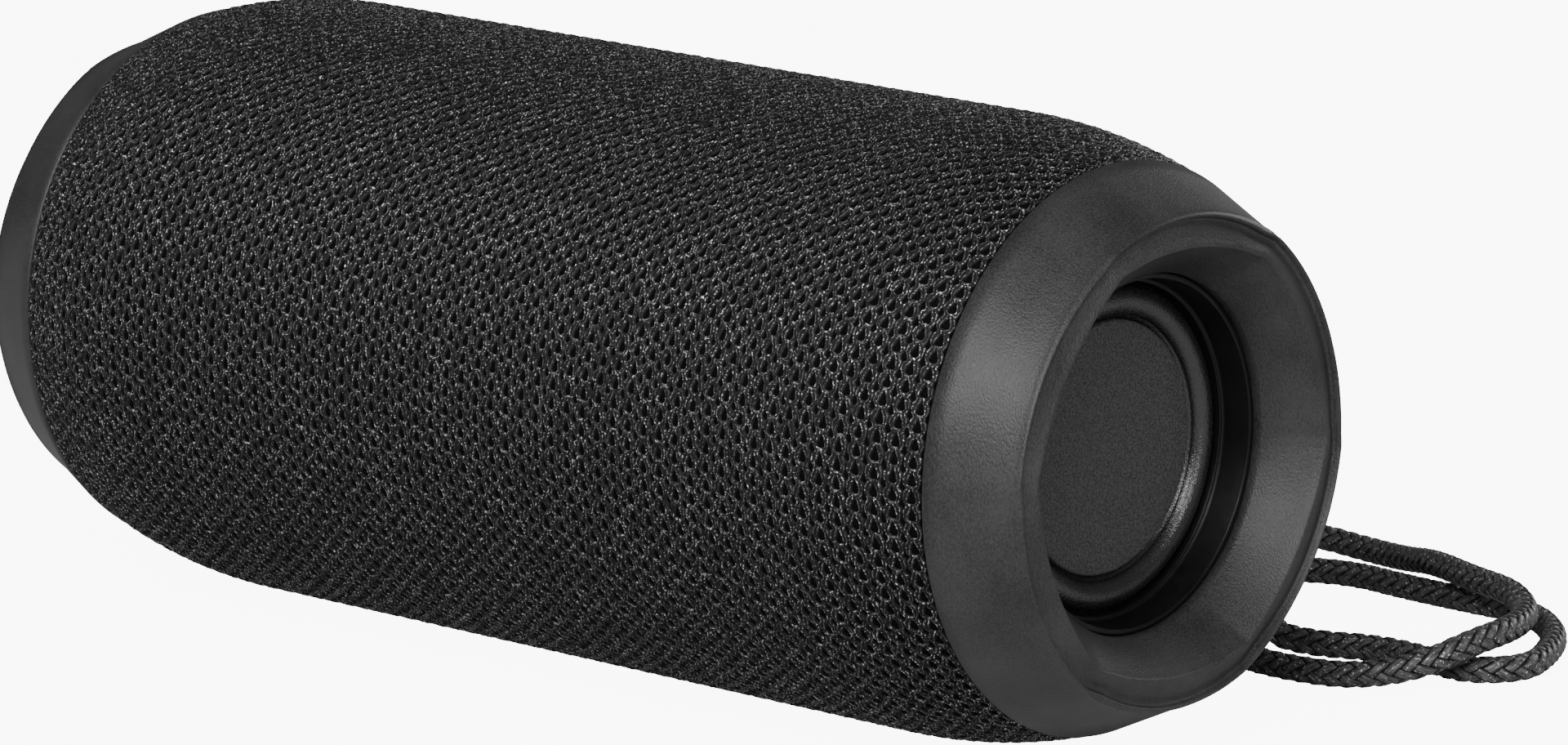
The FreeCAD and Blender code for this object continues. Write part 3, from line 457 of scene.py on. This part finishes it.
def make_surround_material():
    made = Shader("surround_rubber", Specular_IOR_Level=1.0)
    made.colour(made.colours(made.noise(3.0, 3.0), (0.3, 0.010), (0.7, 0.014)))
    speckle = made.noise(0.26, 2.0, 0.7)
    made.rough(made.spread(speckle, 0.3, 0.7, 0.20, 0.34))
    made.bump(speckle, 0.06)
    return made.material


def make_disc_material():
    made = Shader("disc_plastic", Specular_IOR_Level=0.35)
    made.colour(made.colours(made.noise(0.26, 2.0, 0.7), (0.36, 0.020), (0.64, 0.088)))
    made.rough(made.spread(made.noise(0.3), 0.3, 0.7, 0.52, 0.66))
    made.bump(made.noise(0.24, 3.0, 0.65), 0.06)
    return made.material


def make_board_material():
    made = Shader("circuit_board", Specular_IOR_Level=0.5)
    tracks = made.add("TexBrick", {"offset": 0.37}, Vector=made.place, Scale=330.0,
                      Color1=(0.006, 0.05, 0.02, 1.0), Color2=(0.008, 0.065, 0.027, 1.0),
                      Mortar=(0.02, 0.12, 0.05, 1.0)).outputs["Color"]
    made.colour(tracks)
    made.rough(made.spread(made.noise(1.0), 0.3, 0.7, 0.3, 0.42))
    made.bump(made.noise(0.6), 0.01)
    return made.material


def make_metal(name, colour, roughness, brushed=(1.0, 1.0, 1.0)):
    made = Shader(name, Metallic=1.0)
    streak = made.noise(0.3, 3.0, 0.6, made.stretched(*brushed))
    made.colour(made.colours(streak, (0.3, tuple(0.85 * c for c in colour)), (0.7, colour)))
    made.rough(made.spread(streak, 0.3, 0.7, roughness - 0.07, roughness + 0.07))
    made.bump(streak, 0.004)
    return made.material


def make_wrap_material():
    made = Shader("battery_wrap", Specular_IOR_Level=0.5, Coat_Weight=0.3, Coat_Roughness=0.15)
    made.colour(made.colours(made.noise(5.0, 3.0), (0.3, (0.012, 0.06, 0.2)),
                             (0.7, (0.016, 0.075, 0.24))))
    made.rough(made.spread(made.noise(0.8), 0.3, 0.7, 0.25, 0.35))
    made.bump(made.noise(0.9, 2.0), 0.01)
    return made.material


def make_light_pipe_material():
    made = Shader("light_pipe", Specular_IOR_Level=0.5, Transmission_Weight=0.35)
    made.colour(made.colours(made.noise(0.5), (0.3, 0.55), (0.7, 0.7)))
    made.rough(made.spread(made.noise(0.4), 0.3, 0.7, 0.2, 0.3))
    made.bump(made.noise(0.3), 0.01)
    return made.material


collar_soft = make_collar_material()
yarn = make_yarn_material()
backing = make_backing_material()
cord_yarn = make_cord_material()
surround_rubber = make_surround_material()
disc_plastic = make_disc_material()
cabinet_plastic = moulded("cabinet_plastic", 0.012, 0.018, 0.5, 0.5, 0.02)
frame_plastic = moulded("frame_plastic", 0.004, 0.006, 0.42, 0.35, 0.012, 0.3)
panel_rubber = moulded("panel_rubber", 0.017, 0.023, 0.58, 0.3, 0.02, 0.35)
button_rubber = moulded("button_rubber", 0.019, 0.026, 0.55, 0.25, 0.015, 0.35)
foot_rubber = moulded("foot_rubber", 0.010, 0.014, 0.7, 0.3, 0.025, 0.3)
gasket_foam = moulded("gasket_foam", 0.013, 0.028, 0.9, 0.45, 0.08, 0.2)
paper_cone = moulded("paper_cone", 0.02, 0.045, 0.8, 0.6, 0.05, 0.2)
mark_paint = moulded("mark_paint", 0.26, 0.32, 0.5, 0.3, 0.01, 0.4)
component_black = moulded("component_black", 0.014, 0.02, 0.45, 0.3, 0.01)
grille_plastic = moulded("grille_plastic", 0.010, 0.014, 0.5, 0.4, 0.015)
steel = make_metal("driver_steel", (0.55, 0.56, 0.58), 0.36, (1.0, 1.0, 0.2))
screw_steel = make_metal("screw_steel", (0.5, 0.5, 0.52), 0.32)
weight_steel = make_metal("weight_steel", (0.48, 0.48, 0.49), 0.42, (0.1, 1.0, 1.0))
copper = make_metal("copper_wire", (0.85, 0.42, 0.25), 0.3, (1.0, 0.1, 1.0))
tinned = make_metal("component_metal", (0.72, 0.72, 0.72), 0.28)
board_green = make_board_material()
wrap_blue = make_wrap_material()
light_pipe = make_light_pipe_material()

NODE_MATERIALS = {
    "grille_shell": grille_plastic, "cabinet_front": cabinet_plastic,
    "cabinet_rear": cabinet_plastic, "control_panel": panel_rubber,
    "port_cover": panel_rubber, "port_cover_pin": screw_steel, "rubber_foot": foot_rubber,
    "strap_anchor": frame_plastic, "control_board": board_green, "main_board": board_green,
    "tact_switches": tinned, "charging_port": tinned, "audio_jack": component_black,
    "microphone": tinned, "status_light": light_pipe, "amplifier_chip": component_black,
    "bluetooth_module": tinned, "capacitors": component_black, "board_screws": screw_steel,
    "battery_cell": wrap_blue, "battery_cradle": cabinet_plastic,
    "button_power": button_rubber, "button_volume_down": button_rubber,
    "button_play_pause": button_rubber, "button_volume_up": button_rubber,
    "button_mode": button_rubber,
}
for end in ("left", "right"):
    NODE_MATERIALS.update({
        "radiator_weight_" + end: weight_steel, "radiator_gasket_" + end: gasket_foam,
        "radiator_screws_" + end: screw_steel, "driver_basket_" + end: steel,
        "driver_magnet_" + end: weight_steel, "voice_coil_" + end: copper,
        "driver_cone_" + end: paper_cone, "dust_cap_" + end: paper_cone,
        "driver_surround_" + end: surround_rubber, "driver_gasket_" + end: gasket_foam,
        "driver_screws_" + end: screw_steel, "end_collar_" + end: collar_soft,
        "radiator_frame_" + end: frame_plastic, "radiator_disc_" + end: disc_plastic,
        "radiator_surround_" + end: surround_rubber,
    })
for node_name, node_material in NODE_MATERIALS.items():
    NODES[node_name].data.materials.clear()
    NODES[node_name].data.materials.append(node_material)


def finish_piece(piece, material, body="root", replaces=()):
    piece.data.materials.append(material)
    if body is not None:
        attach(piece, body)
    if replaces:
        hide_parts(*replaces)
    return piece


# --------------------------------------------------------------------------
# Strap: each cord's core and its braid
# --------------------------------------------------------------------------
for loop, length in (("inner", 0.244), ("outer", 0.214)):
    core, cover = cords[loop]
    finish_piece(core, cord_yarn, replaces=["strap_%s_loop" % loop])
    finish_piece(cover, cord_yarn)


# --------------------------------------------------------------------------
# End collars: a cone, a flat face with a fine bead round it, and a mouth that
# narrows from a soft hexagon to a round opening
# --------------------------------------------------------------------------
def six_sided(angle, corner, flat, drift=0.0):
    """Radius of a hexagon with bowed sides; drift makes each side run outwards a
    little along its length, so that neighbouring sides meet with a small step."""
    share = ((angle - math.radians(-3.0)) / (math.pi / 3)) % 1.0 * 2 - 1
    step = np.clip((1 - np.abs(share)) / 0.10, 0, 1)
    return flat + (corner - flat) * share ** 2 + drift * share * step


def make_collar(side, sign):
    columns = 360
    angle = np.linspace(0, 2 * math.pi, columns, endpoint=False)
    rim = six_sided(angle, 27.65, 27.35)
    groove = six_sided(angle, 27.5, 27.30, 0.24)
    lip = six_sided(angle, 24.75, 23.75, 0.12)
    opening = 20.1
    outline = [(62.0, 28.6), (62.0, 30.1), (66.0, taper(66.0, 0.8) - 1.3),
               (68.3, taper(68.3, 0.8) - 1.3), (68.58, 31.0), (68.62, 31.7), (68.78, 31.9)]
    for share in (0.2, 0.4, 0.6, 0.8, 0.93):
        outline.append((68.78 + share * 9.74, 31.9 + share * (rim - 31.9)))
    outline += [(78.34, rim + 0.17), (78.58, rim + 0.14), (78.80, groove + 0.02),
                (78.90, groove - 0.10), (78.82, groove - 0.24), (78.40, groove - 0.40),
                (78.10, groove - 0.52), (78.04, groove - 0.75), (78.26, groove - 1.2)]
    for share in (0.35, 0.7):
        outline.append((78.26 + share * 0.50, (groove - 1.2) * (1 - share) + (lip + 0.9) * share))
    outline += [(78.82, lip + 0.62), (78.96, lip + 0.36), (79.0, lip + 0.16), (78.96, lip),
                (78.84, lip - 0.12), (78.68, lip - 0.22)]
    for share in (0.15, 0.35, 0.55, 0.75, 0.9):
        bow = 0.25 * math.sin(math.pi * share)
        outline.append((78.68 + share * (73.45 - 78.68),
                        (lip - 0.22) * (1 - share) + (opening + 0.12) * share - bow))
    outline += [(73.45, opening + 0.12), (73.2, opening), (71.0, opening), (71.0, 21.7),
                (75.6, 24.6), (69.6, 29.6), (67.6, 28.6)]
    stations = [(sign * along, radius) for along, radius in outline]
    made = lathe("collar_" + side, stations, columns)
    return finish_piece(made, collar_soft, replaces=["end_collar_" + side])


# --------------------------------------------------------------------------
# Passive radiators
# --------------------------------------------------------------------------
def rounded(corners, radius=0.12, steps=3):
    """The closed outline of corners with each corner rounded off."""
    made = []
    count = len(corners)
    for k in range(count):
        here = np.array(corners[k], float)
        before = np.array(corners[k - 1], float) - here
        after = np.array(corners[(k + 1) % count], float) - here
        cut = min(radius, 0.45 * np.linalg.norm(before), 0.45 * np.linalg.norm(after))
        a = here + before / np.linalg.norm(before) * cut
        b = here + after / np.linalg.norm(after) * cut
        for t in np.linspace(0, 1, steps):
            made.append(tuple((1 - t) ** 2 * a + 2 * t * (1 - t) * here + t ** 2 * b))
    return made


def make_radiator(side, sign):
    well = 19.0
    corners = [(62.4, 17.4), (62.4, 28.2), (63.9, 28.2), (63.9, well + 1.4),
               (72.3, well + 1.0), (72.3, well + 0.35), (69.0, well + 0.02), (68.75, well - 0.12),
               (68.75, well - 0.45), (67.0, well - 0.5), (67.0, 17.4)]
    basket = lathe("radiator_basket_" + side,
                   [(sign * x, r) for x, r in rounded(corners)], 240)
    finish_piece(basket, frame_plastic, replaces=["radiator_frame_" + side])

    roll = [(67.02, 18.5), (67.45, 18.45)]
    crest, inner, outer = 1.5, 14.75, 18.1
    for t in np.linspace(0, math.pi, 15):
        middle, half = (inner + outer) / 2, (outer - inner) / 2
        roll.append((67.45 + crest * math.sin(t), middle + half * math.cos(t)))
    roll += [(67.45, 14.25), (67.0, 14.25), (67.0, 15.3)]
    for t in np.linspace(0.1, math.pi - 0.1, 9):
        middle, half = (15.3 + 17.6) / 2, (17.6 - 15.3) / 2
        roll.append((67.0 + (crest - 0.35) * math.sin(t), middle - half * math.cos(t)))
    roll.append((67.0, 17.6))
    skin = lathe("radiator_roll_" + side, [(sign * x, r) for x, r in roll], 240)
    finish_piece(skin, surround_rubber, body=None,
                 replaces=["radiator_surround_" + side])
    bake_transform(skin)

    face, edge = 67.9, 14.2
    cap = [(66.2, 0.0), (66.2, 4.0), (66.2, 9.0), (66.2, 14.9), (66.25, 15.1), (66.9, 15.1),
           (67.0, 14.9), (67.0, edge + 0.05), (67.1, edge), (face - 0.35, edge),
           (face - 0.16, edge - 0.06), (face - 0.05, edge - 0.18), (face, edge - 0.4),
           (face, 12.0), (face, 9.0), (face, 6.0), (face, 3.0), (face, 0.0)]
    disc = closed_lathe("radiator_plate_" + side, [(sign * x, r) for x, r in cap], 240)
    finish_piece(disc, disc_plastic, body="radiator_%s_moving" % side,
                 replaces=["radiator_disc_" + side])


def make_driver_roll(side, sign):
    """The rubber between a driver's cone and basket, turned about the driver's axis."""
    columns, inner, outer, seat = 128, 13.3, 16.4, 24.1
    outline = [(seat, outer), (seat, 15.5), (22.9, 15.5), (22.9, inner), (23.4, inner)]
    for t in np.linspace(0.12, math.pi - 0.12, 11):
        share = (1 - math.cos(t)) / 2
        outline.append((23.4 + 1.2 * share + 1.25 * math.sin(t), 13.6 + share * 2.5))
    outline.append((24.6, outer))
    angle = np.linspace(0, 2 * math.pi, columns, endpoint=False)
    points = np.concatenate([np.stack([sign * DRIVER_X + r * np.cos(angle), np.full(columns, -y),
                                       AXIS_Z + r * np.sin(angle)], -1) for y, r in outline])
    made = ring_mesh("driver_roll_" + side, points, len(outline), columns)
    finish_piece(made, surround_rubber, body=None,
                 replaces=["driver_surround_" + side])
    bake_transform(made)
    points = np.array([v.co for v in made.data.vertices], float) / MM
    radius = np.hypot(points[:, 0] - sign * DRIVER_X, points[:, 2] - AXIS_Z)
    fixed, moving = 16.0, 13.7
    share = np.clip((fixed - radius) / (fixed - moving), 0, 1)


for end, direction in SIDES:
    make_collar(end, direction)
    make_radiator(end, direction)
    make_driver_roll(end, direction)


# --------------------------------------------------------------------------
# Cloth: a plain backing sleeve under a knitted net of yarn
# --------------------------------------------------------------------------
CLOTH_END = 68.6                  # the cloth's edge, under the collar
PROFILE_HALF = STRAIGHT + BEND * math.asin((CLOTH_END - STRAIGHT) / BEND)
COURSES = 105                     # stitches round the body
RIBS = 60                         # on each side of the middle
WALE = PROFILE_HALF / RIBS        # half the distance between columns of large holes
SLANT = 0.065 / 2.094             # stitches that a course leans by, for each millimetre along
WINDOW_X, WINDOW_Z, WINDOW_CORNER = 56.1, 12.1, 6.0
RAIL_X, RAIL_HALF_LENGTH, RAIL_HALF_WIDTH = 30.0, 15.0, 2.5
SLEEVE_OUTER, SLEEVE_INNER = 0.44, 0.66     # below the cloth's surface


def on_body(s, angle, inset):
    """The point, and the outward normal, at distance s along the outline from the middle
    and angle round the axis from +Y, inset below the cloth's surface."""
    bend = np.maximum(np.abs(s) - STRAIGHT, 0) / BEND
    sign = np.sign(s)
    x = sign * (np.minimum(np.abs(s), STRAIGHT) + (BEND - inset) * np.sin(bend))
    radius = BODY_RADIUS - BEND + (BEND - inset) * np.cos(bend)
    cos, sin = np.cos(angle), np.sin(angle)
    point = np.stack([x, radius * cos, radius * sin + AXIS_Z], -1)
    normal = np.stack([sign * np.sin(bend), np.cos(bend) * cos, np.cos(bend) * sin], -1)
    return point, normal


def is_cloth(point, margin):
    """False in the openings for the button panel and the rubber rails."""
    x, y, z = np.abs(point[..., 0]), point[..., 1], point[..., 2] - AXIS_Z
    side = x - (WINDOW_X - WINDOW_CORNER)
    end = np.abs(z) - (WINDOW_Z - WINDOW_CORNER)
    away = (np.hypot(np.maximum(side, 0), np.maximum(end, 0))
            + np.minimum(np.maximum(side, end), 0) - WINDOW_CORNER)
    in_window = (away < margin) & (y > 0)
    in_rail = ((np.abs(x - RAIL_X) < RAIL_HALF_LENGTH + margin)
               & (np.abs(y) < RAIL_HALF_WIDTH + margin) & (z < 0))
    return ~(in_window | in_rail)


def make_sleeve():
    """The plain cloth under the knit.  Its openings' edges are tucked under the panel
    and the rails."""
    rows, columns = 150, 240
    s = np.linspace(-PROFILE_HALF, PROFILE_HALF, rows)
    angle = np.linspace(0, 2 * math.pi, columns, endpoint=False)
    grid_s, grid_angle = np.meshgrid(s, angle, indexing="ij")
    outer, _ = on_body(grid_s, grid_angle, SLEEVE_OUTER)
    inner, _ = on_body(grid_s, grid_angle, SLEEVE_INNER)
    i, j = np.meshgrid(np.arange(rows - 1), np.arange(columns), indexing="ij")
    after = (j + 1) % columns
    quads = np.stack([i * columns + j, (i + 1) * columns + j, (i + 1) * columns + after,
                      i * columns + after], -1).reshape(-1, 4)
    quads = quads[is_cloth(outer, -0.2).ravel()[quads].any(1)]
    count = rows * columns
    sides = np.concatenate([quads[:, [k, (k + 1) % 4]] for k in range(4)])
    codes, opposite = sides[:, 0] * count + sides[:, 1], sides[:, 1] * count + sides[:, 0]
    rim = sides[~np.isin(codes, opposite)]
    walls = np.stack([rim[:, 1], rim[:, 0], rim[:, 0] + count, rim[:, 1] + count], -1)
    points = np.concatenate([outer.reshape(-1, 3), inner.reshape(-1, 3)])
    faces = np.concatenate([quads, quads[:, ::-1] + count, walls])
    used, again = np.unique(faces, return_inverse=True)
    made = make_mesh("cloth_sleeve", points[used], [again.reshape(-1, 4)])
    outward(made)
    return made


def hole_width(share, length, width):
    """Half the width of a hole over one stitch: it starts as a point and ends flat."""
    rising = np.clip(share / (0.75 * length), 0, 1) ** 0.8
    ending = np.clip((length - share) / (0.16 * length), 0, 1)
    open_part = width * np.minimum(rising, ending)
    return np.where(share < length, open_part, 0.0) - 0.04


def make_knit():
    """Ribs of paired yarns round the body.  Neighbouring ribs part and meet, which
    leaves staggered pointed holes, and a short tie lies under each large hole."""
    samples, group = 8, 20
    uneven, wave_height, fuzz = 0.03, 0.05, 0.02
    steps = COURSES * samples
    angle = np.arange(steps) * 2 * math.pi / steps
    turn = angle[None, :] * COURSES / (2 * math.pi)
    rng = np.random.default_rng(7)
    pieces = []
    for first in range(-RIBS, RIBS, group):
        rib = np.arange(first, first + group)
        base = ((rib + 0.5) * WALE)[:, None]
        even = (rib % 2 == 0)[:, None]
        stitch = turn - base * SLANT
        large = hole_width(stitch % 1.0, 0.78, 0.52)
        small = hole_width((stitch + 0.5) % 1.0, 0.58, 0.38)
        jitter = uneven * rng.standard_normal((2, group, steps))
        half = 0.5 * WALE
        right = base + half - np.where(even, large, small) + jitter[0]
        left = base - half + np.where(even, small, large) + jitter[1]
        right = np.clip(right, -PROFILE_HALF, PROFILE_HALF)
        left = np.clip(left, -PROFILE_HALF, PROFILE_HALF)
        wide = right - left
        wave = wave_height * np.sin(2 * math.pi * stitch + np.where(even, 0.0, math.pi))
        layers, flat = [], []
        for share, inset in ((0.0, 0.43), (0.24, 0.10), (0.5, 0.38), (0.76, 0.10), (1.0, 0.43)):
            lift = 0.0
            if inset < 0.2:
                lift = np.sign(0.5 - share) * wave + fuzz * rng.standard_normal(wave.shape)
            across = left + share * wide
            layers.append(on_body(across, np.broadcast_to(angle, wide.shape),
                                  np.maximum(inset - lift, 0.02) + 0.0 * wide)[0])
            flat.append(np.stack([share + rib[:, None] + 0.0 * wide,
                                  BODY_RADIUS * angle + 0.0 * wide], -1))
        points, uv = np.stack(layers, 2), np.stack(flat, 2)
        i, j, k = np.meshgrid(np.arange(group), np.arange(steps), np.arange(4), indexing="ij")
        after = (j + 1) % steps
        quads = np.stack([(i * steps + j) * 5 + k, (i * steps + j) * 5 + k + 1,
                          (i * steps + after) * 5 + k + 1, (i * steps + after) * 5 + k], -1)
        quads = quads.reshape(-1, 4)
        quads = quads[is_cloth(points, 0.3).ravel()[quads].all(1)]
        used, again = np.unique(quads, return_inverse=True)
        pieces.append(make_mesh("cloth_knit_%d" % (len(pieces) + 1),
                                points.reshape(-1, 3)[used], [again.reshape(-1, 4)],
                                uv.reshape(-1, 2)[used]))
    return pieces


def make_ties():
    """The short ties under the large holes, as low domes across the gap between ribs."""
    phase, radius = 0.84, 34.8
    column = np.arange(-RIBS, RIBS, 2) + 1
    course = np.arange(COURSES)
    middle = np.repeat(column * WALE, COURSES).astype(float)
    turn = np.tile(course, len(column)) + phase + (middle - 0.5 * WALE) * SLANT
    angle = turn * 2 * math.pi / COURSES
    keep = np.abs(middle) < PROFILE_HALF - 0.6
    middle, angle = middle[keep], angle[keep]
    shape = [(-0.52, -0.10, 0.36), (-0.25, -0.24, 0.2), (0.25, -0.24, 0.2), (0.52, -0.10, 0.36),
             (0.48, 0.10, 0.36), (0.22, 0.14, 0.2), (-0.22, 0.14, 0.2), (-0.48, 0.10, 0.36),
             (-0.2, -0.05, 0.02), (0.2, -0.05, 0.02)]
    points = np.stack([on_body(middle + s, angle + v / radius, inset)[0]
                       for s, v, inset in shape], 1)
    there = is_cloth(points, 0.3).all(1)
    points = points[there]
    quads = np.array([(1, 2, 9, 8), (5, 6, 8, 9)])
    triangles = np.array([(0, 1, 8), (2, 3, 9), (3, 4, 9), (4, 5, 9), (6, 7, 8), (7, 0, 8)])
    base = (np.arange(len(points)) * len(shape))[:, None, None]
    flat = np.array([(0.25 + 0.5 * abs(v + 0.05), s) for s, v, _ in shape])
    flat = flat + np.arange(len(points))[:, None, None] * np.array((1.0, 0.37))
    return make_mesh("cloth_ties", points.reshape(-1, 3),
                     [(quads + base).reshape(-1, 4), (triangles + base).reshape(-1, 3)],
                     flat.reshape(-1, 2))


sleeve = finish_piece(make_sleeve(), backing, replaces=["fabric_sleeve"])
knit = [finish_piece(piece, yarn) for piece in make_knit() + [make_ties()]]


# --------------------------------------------------------------------------
# Button panel: raised marks on the keys
# --------------------------------------------------------------------------
def raised(name, outlines, x, z, low, high):
    """Flat marks standing from y = low to y = high, with narrower tops.  Each outline is
    a list of (across, up) about (x, z)."""
    points, faces, base = [], {}, 0
    for outline in outlines:
        outline = np.array(outline, float)
        count = len(outline)
        middle = outline.mean(0)
        top = middle + (outline - middle) * 0.92
        for flat, y in ((outline, low), (outline, high - 0.03), (top, high)):
            points.append(np.stack([flat[:, 0] + x, np.full(count, y),
                                    flat[:, 1] + z + AXIS_Z], -1))
        ring = np.arange(count)
        after = (ring + 1) % count
        for layer in (0, 1):
            faces.setdefault(4, []).append(base + layer * count + np.stack(
                [ring, after, after + count, ring + count], -1))
        faces.setdefault(count, []).append(base + 2 * count + ring[None, :])
        faces[count].append(base + ring[None, ::-1])
        base += 3 * count
    made = make_mesh(name, np.concatenate(points), [np.concatenate(g) for g in faces.values()])
    outward(made)
    for face in made.data.polygons:
        face.use_smooth = False
    return made


def bar(width, height, x=0.0, z=0.0, radius=0.2):
    made = []
    for turn, (sx, sz) in enumerate(((1, 1), (-1, 1), (-1, -1), (1, -1))):
        for step in range(4):
            angle = math.pi / 2 * (turn + step / 3)
            made.append((x + sx * (width / 2 - radius) + radius * math.cos(angle),
                         z + sz * (height / 2 - radius) + radius * math.sin(angle)))
    return made


def arc(radius, thickness, start, end, steps):
    outer = [(radius * math.cos(a), radius * math.sin(a)) for a in np.linspace(start, end, steps)]
    inner = [((radius - thickness) * math.cos(a), (radius - thickness) * math.sin(a))
             for a in np.linspace(end, start, steps)]
    return outer + inner


def pieces_of_arc(radius, thickness, start, end, count=14):
    """An arc cut into short plates, so that each outline is convex."""
    edges = np.linspace(start, end, count + 1)
    return [arc(radius, thickness, a, b, 3) for a, b in zip(edges[:-1], edges[1:])]


MARK_RELIEF = 0.2
MARKS = {
    "power": pieces_of_arc(1.5, 0.42, math.radians(120), math.radians(420))
    + [bar(0.42, 1.7, 0.0, 1.1, 0.15)],
    "volume_down": [bar(2.8, 0.5)],
    "play_pause": [[(1.9, 1.25), (-0.35, 0.0), (1.9, -1.25)],
                   bar(0.45, 2.4, -1.0, 0, 0.15), bar(0.45, 2.4, -1.9, 0, 0.15)],
    "volume_up": [bar(2.8, 0.5), bar(0.5, 1.15, 0.0, 0.82, 0.15), bar(0.5, 1.15, 0.0, -0.82, 0.15)],
    "mode": pieces_of_arc(1.5, 0.38, 0.0, 2 * math.pi) + [
        [(0.5 * math.cos(a), 0.5 * math.sin(a)) for a in np.linspace(0, 2 * math.pi, 17)[:-1]]],
}
for key, x in (("power", -44.0), ("volume_down", -30.0), ("play_pause", -16.0),
               ("volume_up", -2.0), ("mode", 12.0)):
    mark = raised("mark_" + key, MARKS[key], x, 0.0, BACK_Y, BACK_Y + MARK_RELIEF)
    finish_piece(mark, mark_paint, body="key_" + key)


# --------------------------------------------------------------------------
# Floor and light
# --------------------------------------------------------------------------
def make_floor():
    """Pale paper, seen nearly white.  Only the camera sees its extra brightness, so that
    the paper lights the object as plain paper does."""
    made = Shader("floor_paper", Specular_IOR_Level=0.1)
    made.colour(made.colours(made.noise(300.0, 3.0), (0.3, 0.60), (0.7, 0.64)))
    made.rough(made.spread(made.noise(20.0), 0.3, 0.7, 0.85, 0.95))
    seen = made.add("LightPath").outputs["Is Camera Ray"]
    made.surface.inputs["Emission Color"].default_value = (1.0, 1.0, 1.0, 1.0)
    made.tree.links.new(made.math("MULTIPLY", seen, 9.0),
                        made.surface.inputs["Emission Strength"])
    reach, level = 6000, -0.05
    floor = make_mesh("floor", [(-reach, -reach, level), (reach, -reach, level),
                                (reach, reach, level), (-reach, reach, level)], [[(0, 1, 2, 3)]])
    floor.data.materials.append(made.material)


LIGHTS_AIM = Vector((0.0, 0.0, 0.035))


def softbox(name, place, size, power):
    data = bpy.data.lights.new(name, "AREA")
    data.shape = "RECTANGLE"
    data.size, data.size_y = size
    data.energy = power
    made = bpy.data.objects.new(name, data)
    made.location = place
    made.rotation_mode = "QUATERNION"
    made.rotation_quaternion = (LIGHTS_AIM - Vector(place)).to_track_quat("-Z", "Y")
    bpy.context.scene.collection.objects.link(made)


make_floor()
softbox("key_light", (0.36, -0.94, 0.74), (0.95, 0.34), 15.6)
softbox("left_light", (-0.9, -0.8, 0.45), (0.4, 0.4), 0.2)
softbox("right_light", (1.25, -0.28, 0.50), (0.30, 0.30), 4.8)
softbox("top_light", (0.1, 0.2, 1.5), (1.0, 1.0), 0.2)
softbox("back_light", (0.1, 1.3, 0.5), (0.8, 0.4), 4.0)
world = bpy.data.worlds.new("studio")
world.use_nodes = True
world.node_tree.nodes["Background"].inputs["Color"].default_value = (1.0, 1.0, 1.0, 1.0)
world.node_tree.nodes["Background"].inputs["Strength"].default_value = 0.14
bpy.context.scene.world = world
